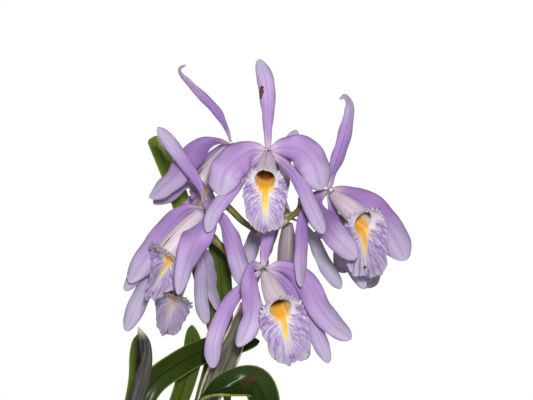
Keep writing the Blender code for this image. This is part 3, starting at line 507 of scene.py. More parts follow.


# %% [markdown]
# The golden throat
#
# The gold is a fan on the throat's floor with brown rays in it, painted a dark brown for shade far
# down the tube. It runs out on the lobe as a stripe that tapers to nothing. The tube's roof is
# painted brown for its own shadow. The gold is also fed to the emission at a low strength, a
# painted glow: it stands for light that passes through the thin tissue, which a shader with little
# depth can't show, and it brightens the throat that the tube shades. A lip at the back, in painted
# shadow, loses its gold and stripe with the shade, and its whole face is painted grey.

# %% The golden throat
THROAT_GOLD = paint(250, 206, 104)
THROAT_RAY = paint(168, 96, 20)
THROAT_ORANGE = paint(240, 170, 20)
SHADE_AND_EDGE_BROWN = paint(92, 40, 14)
STRIPE_YELLOW = paint(246, 206, 62)
THROAT_RAYS = (34.0, 0.6, 6.0, 12.0)
# the strength of the painted glow in the throat
PAINTED_GLOW = 0.2
FAN_BESIDE = (9.0, 5.5)          # distances are in millimetres, below zero inside the tube
FAN_DOWN = (8.0, 1.0)
FLOOR_MOUTH = (-0.5, -2.0)
# how far down the tube the painted shade turns the gold and stripe brown
THROAT_SHADE_DEPTH = (-8.0, -15.0)
STRIPE_START = 8.0
STRIPE_FADES = 17.0
STRIPE_LENGTH = 25.0
STRIPE_TAPER = (2.6, 0.4)        # half widths
STRIPE_SOFTNESS = 0.6
STRIPE_PALES = (2.0, 16.0)
ROOF_SHADE_MOUTH = (-0.3, -1.2)
ROOF_SHADE_END = (-12.0, -6.0)


def lay_throat(made):
    """Lays the gold and the stripe, and gives the gold and the mask that it shows through."""
    below = made.rise(made.floor, 0.0, 0.35)
    fan = made.times(made.rise(made.beside, *FAN_BESIDE), made.rise(made.down, *FAN_DOWN), below)
    inside = made.times(made.rise(made.down, *FLOOR_MOUTH), made.rise(made.floor, 0.1, 0.6))
    lit = made.times(made.sums("MAXIMUM", fan, inside), made.unshaded)
    rays = made.veins(*THROAT_RAYS)
    # painted shade: the gold and the stripe turn brown far down the tube
    deep_shade = made.rise(made.down, *THROAT_SHADE_DEPTH)
    gold = mixed(made.tree, made.times(rays, 0.7), THROAT_GOLD, THROAT_RAY)
    gold = mixed(made.tree, deep_shade, gold, SHADE_AND_EDGE_BROWN)
    made.lay(gold, lit)
    reach = made.rise(made.down, STRIPE_START, STRIPE_LENGTH, *STRIPE_TAPER)
    within = made.sums("SUBTRACT", reach, made.beside)
    stripe = made.rise(within, -STRIPE_SOFTNESS, STRIPE_SOFTNESS)
    stripe = made.times(stripe, made.rise(made.down, STRIPE_LENGTH, STRIPE_FADES), below, made.unshaded)
    yellow = mixed(made.tree, made.rise(made.down, *STRIPE_PALES), THROAT_ORANGE, STRIPE_YELLOW)
    yellow = mixed(made.tree, made.times(rays, 0.2), yellow, THROAT_RAY)
    yellow = mixed(made.tree, made.times(deep_shade, 0.85), yellow, SHADE_AND_EDGE_BROWN)
    made.lay(yellow, stripe)
    return gold, lit


def lip_face_finish():
    made = LipFinish("Lip face", LIP_WHITE, Roughness=0.5, Subsurface_Weight=0.1,
                     Subsurface_Scale=FLESH_DEPTH, Emission_Strength=PAINTED_GLOW)
    feather = feathered_veins(made)
    lay_lobe(made, feather)
    gold, lit = lay_throat(made)
    # painted shadow under the tube's roof
    roof = made.times(made.rise(made.down, *ROOF_SHADE_MOUTH), made.rise(made.down, *ROOF_SHADE_END),
                      made.rise(made.floor, 0.15, -0.3))
    made.lay(SHADE_AND_EDGE_BROWN, roof)
    # painted shadow grey on a lip at the back
    made.lay(LIP_GREY, made.attribute("shade"), 0.8)
    made.lay(DRIED_BROWN, made.dried(made.times(made.rise(made.rim, 0.93, 1.0), 0.9)))
    # painted glow: the gold, fed to the emission where it shows outside the roof's shadow
    painted_glow = made.times(lit, made.sums("SUBTRACT", 1.0, roof))
    made.feed("Emission Color", mixed(made.tree, painted_glow, BLACK, gold))
    return made.done(feather, 0.4, 0.15)


LIP_FACE = lip_face_finish()

# %% [markdown]
# The back of the lip
#
# Seen from outside, the tube is a pinkish cream with faint veins, painted a shaded grey-brown on a
# lip at the back that stands in shadow.
# The face and the back are two sides of one sheet, so the piece has two materials: its thickness
# is a modifier, which gives the second material to the side that it adds.

# %% The back of the lip
TUBE_CREAM = paint(236, 218, 224)
LIP_BACK_SHADED = paint(118, 106, 112)
LIP_BACK_VEINS = (40.0, 2.0, 9.0, 5.0)


def lip_back_finish():
    made = Finish("Lip back", TUBE_CREAM, Roughness=0.5, Subsurface_Weight=0.1,
                  Subsurface_Scale=FLESH_DEPTH)
    made.lay(LIP_MARGIN, made.rise(made.v, 0.3, 0.75))
    lines = made.veins(*LIP_BACK_VEINS)
    made.lay(LIP_VEIN, lines, 0.25)
    made.lay(LILAC, made.tone(90.0), 0.2)
    made.lay(SHADE_AND_EDGE_BROWN, made.margin(0.985), 0.6)
    # painted shadow: a lip at the back is greyed brown
    made.lay(LIP_BACK_SHADED, made.attribute("shade"), 0.85)
    return made.done(lines, 0.4, 0.12)


LIP_BACK = lip_back_finish()

# %% [markdown]
# The finish of leaves
#
# Leaves are leathery and glossy: a dark green with faint lengthwise lines and a thin yellow-green
# margin. How dark each leaf is painted is partly its own green and partly painted light and shade.
# The underside is a paler green, painted light enough to stand for the glare where a leaf turns
# down. The wet-looking glare could come from a low roughness, but that makes the whole leaf a
# mirror. A thin clear coat over a rough body keeps the green dark and puts a soft glare on top.

# %% The finish of leaves
LEAF_DARKEST = paint(13, 33, 0)
LEAF_PALEST = paint(112, 134, 46)
LEAF_LIGHT = paint(62, 92, 12)
LEAF_MARGIN = paint(126, 140, 56)
LEAF_UNDER = paint(150, 164, 118)
LEAF_SCAR = paint(74, 40, 22)
LEAF_VEINS = (26.0, 1.4, 7.0)


def leaf_finish():
    made = Finish("Leaf", LEAF_PALEST, Roughness=0.6, Specular_IOR_Level=0.1, Coat_Weight=0.16,
                  Coat_Roughness=0.24)
    # how dark each leaf is painted: partly its own green, partly painted light and shade
    made.lay(LEAF_DARKEST, made.attribute("shade"))
    made.lay(LEAF_LIGHT, made.tone(30.0), 0.12)
    lines = made.veins(*LEAF_VEINS)
    made.lay(LEAF_LIGHT, lines, 0.12)
    made.lay(LEAF_MARGIN, made.tone(900.0), 0.05)
    made.lay(LEAF_MARGIN, made.margin(0.965), 0.8)
    made.lay(LEAF_SCAR, made.dried(made.times(made.margin(0.97), 0.5)))
    return made.done(lines, 0.35, 0.2)


def leaf_under_finish():
    # the underside's own paler green, also painted light to stand for glare where a leaf turns down
    made = Finish("Leaf underside", LEAF_UNDER, Roughness=0.5)
    made.lay(LEAF_LIGHT, made.veins(*LEAF_VEINS), 0.4)
    return made.done()


LEAF_SKIN = leaf_finish()
LEAF_BACK = leaf_under_finish()

# %% [markdown]
# The finish of pseudobulbs, stalk and column
#
# The pseudobulbs are a matter green that yellows upwards. The flower stalk is olive and brown by
# patches, and its ovaries pale to the petals' pink where they join the blooms. The column is as
# pale as a petal's base, with a greyer cap. All three are plain coats over one ground.

# %% The finish of pseudobulbs, stalk and column
BULB_GREEN = paint(104, 124, 52)
BULB_YELLOW = paint(150, 152, 78)
STEM_OLIVE = paint(122, 118, 48)
STEM_BROWN = paint(92, 70, 34)
COLUMN_CAP = (0.86, 0.97)        # shares of the column's length


def bulb_finish():
    made = Finish("Pseudobulb", BULB_GREEN, Roughness=0.45, Coat_Weight=0.15, Coat_Roughness=0.4)
    made.lay(BULB_YELLOW, made.rise(made.v, 0.1, 1.0))
    lines = made.fibres(60.0, 4.0)
    made.lay(LEAF_LIGHT, lines, 0.3)
    made.lay(STEM_BROWN, made.tone(200.0), 0.2)
    return made.done(lines, 0.4, 0.2)


def stem_finish():
    made = Finish("Flower stalk", STEM_OLIVE, Roughness=0.45)
    made.lay(STEM_BROWN, made.tone(120.0))
    lines = made.fibres(18.0, 3.0)
    made.lay(BULB_YELLOW, lines, 0.3)
    made.lay(PETAL_BASE, made.attribute("shade"))
    return made.done(lines, 0.4, 0.15)


def column_finish():
    made = Finish("Column", PETAL_BASE, Roughness=0.4, Subsurface_Weight=0.1, Subsurface_Scale=FLESH_DEPTH)
    made.lay(LIP_MARGIN, made.rise(made.attribute("shade"), *COLUMN_CAP))
    made.lay(LILAC_DEEP, made.tone(300.0), 0.2)
    return made.done()


BULB_SKIN = bulb_finish()
STEM_SKIN = stem_finish()
COLUMN_SKIN = column_finish()

# %% [markdown]
# The finish of dry paper
#
# The sheaths are dead leaves gone to paper: fibrous, buff, darker in streaks and pale at the torn
# edge. One function makes all of them, with other colours and counts of fibres. The spathe that
# the stalk comes out of is different. It is a dark and wet-looking olive with dark creases, partly
# its own colour and partly painted shade from the lower bloom above it, and its two folded
# margins, left and right, are cream: a cosine of the angle round it finds them.

# %% The finish of dry paper
PAPER_BUFF = paint(206, 188, 156)
PAPER_BROWN = paint(122, 92, 62)
SPATHE_SHADED_OLIVE = paint(50, 50, 32)
SPATHE_CREAM = paint(216, 206, 180)
DRY_GREY = paint(84, 82, 76)
DRY_DARK = paint(42, 38, 34)
SPATHE_CREASES = (4.0, 2.2, 30.0, 6.0)


def fibrous_finish(name, ground, streak, rim, counts, rim_from, roughness):
    made = Finish(name, ground, Roughness=roughness)
    lines = made.fibres(*counts)
    made.lay(streak, lines)
    made.lay(streak, made.tone(90.0), 0.35)
    made.lay(rim, made.rise(made.v, rim_from, 1.0))
    return made.done(lines, 0.6, 0.4)


def spathe_finish():
    # the olive ground is partly its own colour and partly painted shade from the lower bloom
    made = Finish("Spathe", SPATHE_SHADED_OLIVE, Roughness=0.6)
    lines = made.fibres(26.0, 2.5, 4.0)
    made.lay(PAPER_BUFF, lines, 0.22)
    made.lay(DRY_DARK, made.veins(*SPATHE_CREASES), 0.6)
    to_side = made.sums("ABSOLUTE", made.sums("COSINE", made.times(made.u, math.tau)))
    fold = made.sums("ADD", to_side, made.times(made.tone(120.0), 0.12))
    made.lay(SPATHE_CREAM, made.rise(fold, 0.86, 1.0))
    made.lay(SPATHE_CREAM, made.rise(made.v, 0.9, 1.0, 0.0, 0.8))
    return made.done(lines, 0.6, 0.35)


SHEATH_SKIN = fibrous_finish("Papery sheath", PAPER_BUFF, PAPER_BROWN, SPATHE_CREAM, (34.0, 2.0), 0.86, 0.7)
DRY_SKIN = fibrous_finish("Dry spathe", DRY_GREY, DRY_DARK, SPATHE_CREAM, (22.0, 3.0), 0.9, 0.8)
BRACT_SKIN = fibrous_finish("Bract", BULB_YELLOW, PAPER_BUFF, PAPER_BROWN, (12.0, 2.0), 0.7, 0.7)
SPATHE_SKIN = spathe_finish()

# %% [markdown]
# The finish of roots, bark and clay
#
# Roots wear a silvery velvet, green where they grow. Bark is flaky and dark: cells of a Voronoi
# texture make its flakes. The pot is plain fired clay with a bloom of pale salts, a darker band
# near its foot, and the faint rings that a turning wheel leaves, which are noise read by height
# alone.

# %% The finish of roots, bark and clay
ROOT_GREY = paint(178, 178, 156)
ROOT_GREEN = paint(112, 140, 74)
BARK_DARK = paint(38, 24, 17)
BARK_BROWN = paint(86, 56, 36)
BARK_PALE = paint(134, 98, 66)
CLAY_RED = paint(178, 98, 62)
CLAY_DARK = paint(136, 70, 44)
CLAY_SALT = paint(214, 178, 152)
DARK_FOOT_BAND = (0.045, 0.005)       # metres above the ground, from unchanged to darkest


def root_finish():
    made = Finish("Roots", ROOT_GREY, Roughness=0.85, Sheen_Weight=0.3)
    made.lay(PAPER_BUFF, made.tone(150.0))
    made.lay(ROOT_GREEN, made.attribute("shade"))
    return made.done(made.tone(1500.0), 0.4, 0.2)


def bark_finish():
    made = Finish("Bark", BARK_DARK, Roughness=0.9)
    flakes = node(made.tree, "TexVoronoi", {"Vector": made.place, "Scale": 260.0}).outputs["Distance"]
    grain = made.tone(420.0)
    made.lay(BARK_BROWN, grain)
    made.lay(BARK_PALE, made.attribute("shade"))
    made.lay(BARK_DARK, made.rise(flakes, 0.25, 0.6, 0.0, 0.5))
    return made.done(made.sums("ADD", flakes, grain), 0.8, 0.6)


def clay_finish():
    made = Finish("Clay", CLAY_RED, Roughness=0.85)
    height = node(made.tree, "SeparateXYZ", {0: made.place}).outputs["Z"]
    made.lay(CLAY_DARK, made.tone(28.0))
    # darker towards the foot
    made.lay(CLAY_DARK, made.rise(height, *DARK_FOOT_BAND, 0.0, 0.6))
    made.lay(CLAY_SALT, made.rise(made.noise(46.0, 6.0), 0.52, 0.72, 0.0, 0.7))
    grit = made.tone(1400.0)
    made.lay(CLAY_DARK, grit, 0.18)
    by_height = node(made.tree, "CombineXYZ", {2: height}).outputs[0]
    return made.done(made.times(made.noise(420.0, place=by_height), grit), 0.5, 0.25)


ROOT_SKIN = root_finish()
BARK_SKIN = bark_finish()
CLAY_SKIN = clay_finish()

# %% [markdown]
# Curves that everything grows along
#
# Stems, leaves and petals all follow a route: a few points that a smooth curve passes through. A
# curve object with a bevel could draw a stem, but not a blade that widens, rolls and waves, so
# the curve is worked out here. Its points are spaced by length and not by share of the formula,
# so that a mesh has even steps however far apart the route's points are.

# %% Curves that everything grows along
TRAIL_STEPS = 300
FRAME_STEPS = 120
NUDGE_PARTS = 100        # a tangent is taken over one such part of the route to either side
STALK_ROUTE = (
    (-9, -2, 280), (4, -2, 316), (21, -2, 352), (33, 0, 385),
    (44, 4, 412), (53, 8, 432), (57, 10, 446),
)


def spline(stations, share):
    """The value at a share of the smooth curve through evenly spaced stations."""
    spans = len(stations) - 1
    at = min(int(share * spans), spans - 1)
    u = share * spans - at
    here, there = stations[at], stations[at + 1]
    before = stations[at - 1] if at else here + (here - there)
    after = stations[at + 2] if at + 2 <= spans else there + (there - here)
    return 0.5 * (2 * here + (there - before) * u
                  + (2 * before - 5 * here + 4 * there - after) * u * u
                  + (3 * here - before - 3 * there + after) * u * u * u)


def even_shares(steps):
    return [i / steps for i in range(steps + 1)]


def walk(route, shares):
    """The points at shares of a route's length along its smooth curve, and the tangents there."""
    route = [Vector(point) for point in route]
    trail = [spline(route, share) for share in even_shares(TRAIL_STEPS)]
    lengths = [0.0]
    for before, after in zip(trail, trail[1:]):
        lengths.append(lengths[-1] + (after - before).length)

    def place(length):
        length = min(max(length, 0), lengths[-1])
        after = max(1, bisect.bisect_left(lengths, length))
        span = lengths[after] - lengths[after - 1]
        return trail[after - 1].lerp(trail[after], (length - lengths[after - 1]) / span)

    nudge = lengths[-1] / NUDGE_PARTS
    goals = [lengths[-1] * share for share in shares]
    tangents = [(place(goal + nudge) - place(goal - nudge)).normalized() for goal in goals]
    return [place(goal) for goal in goals], tangents


stalk_points = walk(STALK_ROUTE, even_shares(TRAIL_STEPS))[0]
stalk_length = sum((after - before).length for before, after in zip(stalk_points, stalk_points[1:]))
print("the flower stalk is", round(stalk_length), "mm long")

# %% [markdown]
# Which way a blade faces
#
# A blade also needs to know which way its inner side faces at every step. If each step were
# turned to a fixed direction, the blade would kink where its route bends. So a direction is
# carried along the route without twisting, and the twist that the wanted facings ask for is then
# spread evenly along it. That is how a growing blade turns.

# %% Which way a blade faces


def square_to(way, tangent):
    """The part of a direction that is square to a tangent, at length 1."""
    return (way - way.dot(tangent) * tangent).normalized()


def carried_along(tangents, way):
    """A direction carried along a route's tangents without any twist."""
    carried = [square_to(Vector(way), tangents[0])]
    for before, after in zip(tangents, tangents[1:]):
        carried.append(square_to(before.rotation_difference(after) @ carried[-1], after))
    return carried


def blade_frames(route, faces, shares):
    """Points, sideways and facing directions, for a blade with its base, middle and tip facings."""
    _, tangents = walk(route, even_shares(FRAME_STEPS))
    carried = carried_along(tangents, faces[0])
    turns = [0.0]
    for at, face in ((FRAME_STEPS // 2, faces[1]), (FRAME_STEPS, faces[2])):
        wanted = square_to(Vector(face), tangents[at])
        turn = math.atan2(carried[at].cross(wanted).dot(tangents[at]), carried[at].dot(wanted))
        turns.append(turns[-1] + math.remainder(turn - turns[-1], math.tau))
    frames = []
    for share, point, tangent in zip(shares, *walk(route, shares)):
        normal = square_to(carried[round(share * FRAME_STEPS)], tangent)
        normal = Matrix.Rotation(spline(turns, share), 3, tangent) @ normal
        frames.append((point, tangent.cross(normal), normal))
    return frames


def tube_frames(route, shares):
    """Points, sideways and forward directions along a stem, with no twist."""
    points, tangents = walk(route, shares)
    forward = (0, -1, 0) if abs(tangents[0].y) < 0.8 else (0, 0, 1)
    return [(point, tangent.cross(front), front) for point, tangent, front in
            zip(points, tangents, carried_along(tangents, forward))]


# %% [markdown]
# Unevenness
#
# Nothing alive is quite even. Three small helpers make that: a smooth random number that depends
# on a place, so that neighbours agree and every run gives the same plant; a bell-shaped bump; and
# a way to crowd the steps of a blade towards its tip, which is rounder than its sides.

# %% Unevenness


def rough(*place):
    """A smooth random number from -1 to 1 that depends on up to three coordinates."""
    return noise.noise(Vector((*place, 0, 0)[:3]))


def bell(distance, width):
    """1 at no distance, fading out over about a width on both sides."""
    return math.exp(-((distance / width) ** 2))


def crowded(shares, power):
    """Shares that lie closer together towards the end, where a blade rounds into its tip."""
    return [1 - (1 - share) ** power for share in shares]


print("a bell at one width:", round(bell(1, 1), 2), "and at two:", round(bell(2, 1), 2))

# %% [markdown]
# Sheets and tubes
#
# Every living piece is one of two things: a sheet, which is a grid of points bent into place, or
# a tube, which is a sheet closed on itself. They could be sculpted, and unwrapped afterwards, but
# a grid knows its UV map for free while it is made: U runs across or round, and V from base to
# tip. A rule for each painted attribute can be given too.

# %% Sheets and tubes
WELD = 0.001             # points this close, in millimetres, become one
made_pieces = []


def painted_layers(bm, name):
    """Where a mesh keeps an attribute of this name: lobe is three numbers, and the others one."""
    return bm.verts.layers.float_vector if name == "lobe" else bm.verts.layers.float


def new_mesh(*attributes):
    """An empty mesh in the making, with its UV map and its painted attributes."""
    bm = bmesh.new()
    bm.loops.layers.uv.new("UVMap")
    for name in attributes:
        painted_layers(bm, name).new(name)
    return bm


def add_sheet(bm, shares, across, place, marks=None, seamless=False):
    """A grid of points: place(row, side) puts each one, with side going from -1 to 1."""
    uv = bm.loops.layers.uv["UVMap"]
    layers = {name: painted_layers(bm, name)[name] for name in marks or {}}
    steps = len(shares) - 1
    corners = bmesh.ops.create_grid(bm, x_segments=steps, y_segments=across, size=1)["verts"]
    spots = {}
    for corner in corners:
        row, side = round((corner.co.x + 1) / 2 * steps), corner.co.y
        spots[corner] = ((side + 1) / 2, shares[row])
        corner.co = place(row, side)
        for name, layer in layers.items():
            corner[layer] = marks[name](row, side, corner.co)
    faces = list({face for corner in corners for face in corner.link_faces})
    for face in faces:
        for loop in face.loops:
            loop[uv].uv = spots[loop.vert]
    bmesh.ops.reverse_faces(bm, faces=faces)
    if seamless:
        bmesh.ops.remove_doubles(bm, verts=corners, dist=WELD)


def add_tube(bm, route, shares, sides, reach_at, marks=None):
    """A tube along a route. reach_at(share, angle) gives its reach sideways and to the front."""
    frames = tube_frames(route, shares)

    def place(row, side):
        point, sideways, front = frames[row]
        to_side, to_front = reach_at(shares[row], (side + 1) * math.pi)
        return point + sideways * to_side + front * to_front
    add_sheet(bm, shares, sides, place, marks, seamless=True)


def ring(radius, angle):
    """The two reaches of a point on a circle."""
    return radius * math.cos(angle), radius * math.sin(angle)


def round_reach(radii):
    """The reach of a round tube whose radii are spaced evenly along it."""
    return lambda share, angle: ring(spline(radii, share), angle)


def close_ends(bm):
    """Fills the open rings at the ends of tubes."""
    open_edges = [edge for edge in bm.edges if edge.is_boundary]
    bmesh.ops.holes_fill(bm, edges=open_edges, sides=0)


print("a tube of radius 2 reaches", *(round(reach, 2) for reach in round_reach((2, 2))(0.5, math.tau / 8)))

# %% [markdown]
# From a mesh to a piece
#
# The finished mesh becomes an object that rides on the plant's one body and takes the place of
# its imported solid. Its thickness is a modifier and not a second sheet, so it stays even wherever
# the sheet bends, and the side that it adds can wear a material of its own.

# %% From a mesh to a piece


def finish_piece(name, bm, skins, stands_for=(), thickness=0, bevel=0):
    """Turns a mesh in millimetres into a piece of the plant, which rides on its one body."""
    bmesh.ops.scale(bm, vec=(MM, MM, MM), verts=bm.verts)
    mesh = bpy.data.meshes.new(name)
    bm.to_mesh(mesh)
    bm.free()
    for skin in skins:
        mesh.materials.append(skin)
    mesh.shade_smooth()
    piece = bpy.data.objects.new(name, mesh)
    bpy.context.scene.collection.objects.link(piece)
    if thickness:
        solid = piece.modifiers.new("Thickness", "SOLIDIFY")
        solid.thickness = thickness * MM
        solid.offset = 0
        solid.material_offset = len(skins) - 1
    if bevel:
        eased = piece.modifiers.new("Eased edge", "BEVEL")
        eased.width = bevel * MM
        eased.segments = 2
    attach(piece, "root")
    if stands_for:
        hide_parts(*stands_for)
    made_pieces.append((name, len(mesh.polygons)))
    return piece


# %% [markdown]
# The plan of the eight blooms
#
# Each bloom is given by its centre, the way its lip's tube points, the way its lip's lobe hangs,
# and five tepals: three sepals and two petals. A tepal has an outline, a half width, the way its
# inner side faces at the middle and the tip, and the steps of its route from the bloom's centre.
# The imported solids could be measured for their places, but not for these directions, so the plan
# has the same values as the solid model, and the fine pieces lie where the solids are. A
# cattleya's sepals are narrower and stiffer than its petals, whose margins wave.

# %% The plan of the eight blooms
Style = namedtuple("Style", "outline roll wave")
SEPAL = Style((0.36, 0.6, 0.8, 0.93, 1.0, 1.0, 0.94), 0.75, 0.05)
SLIM = Style((0.42, 0.78, 1.0, 1.0, 0.88, 0.66, 0.42), 0.7, 0.03)
PETAL_STYLE = Style((0.24, 0.56, 0.88, 1.0, 1.0, 0.92, 0.8), 0.6, 0.12)
BROAD = Style((0.3, 0.8, 1.0, 0.94, 0.74, 0.52, 0.36), 0.6, 0.08)
CLUB = Style((0.3, 0.46, 0.66, 0.9, 1.0, 0.94, 0.8), 0.75, 0.05)
Tepal = namedtuple("Tepal", "style half_width face tip_face route")
# A bloom's shade is how much painted shadow greys it: the blooms at the back stand in shadow.
Bloom = namedtuple("Bloom", "centre lip_axis lip_lobe lip_turn lip_size stalk_share pedicel shade tepals")
VIEWER = (0, -1, 0)

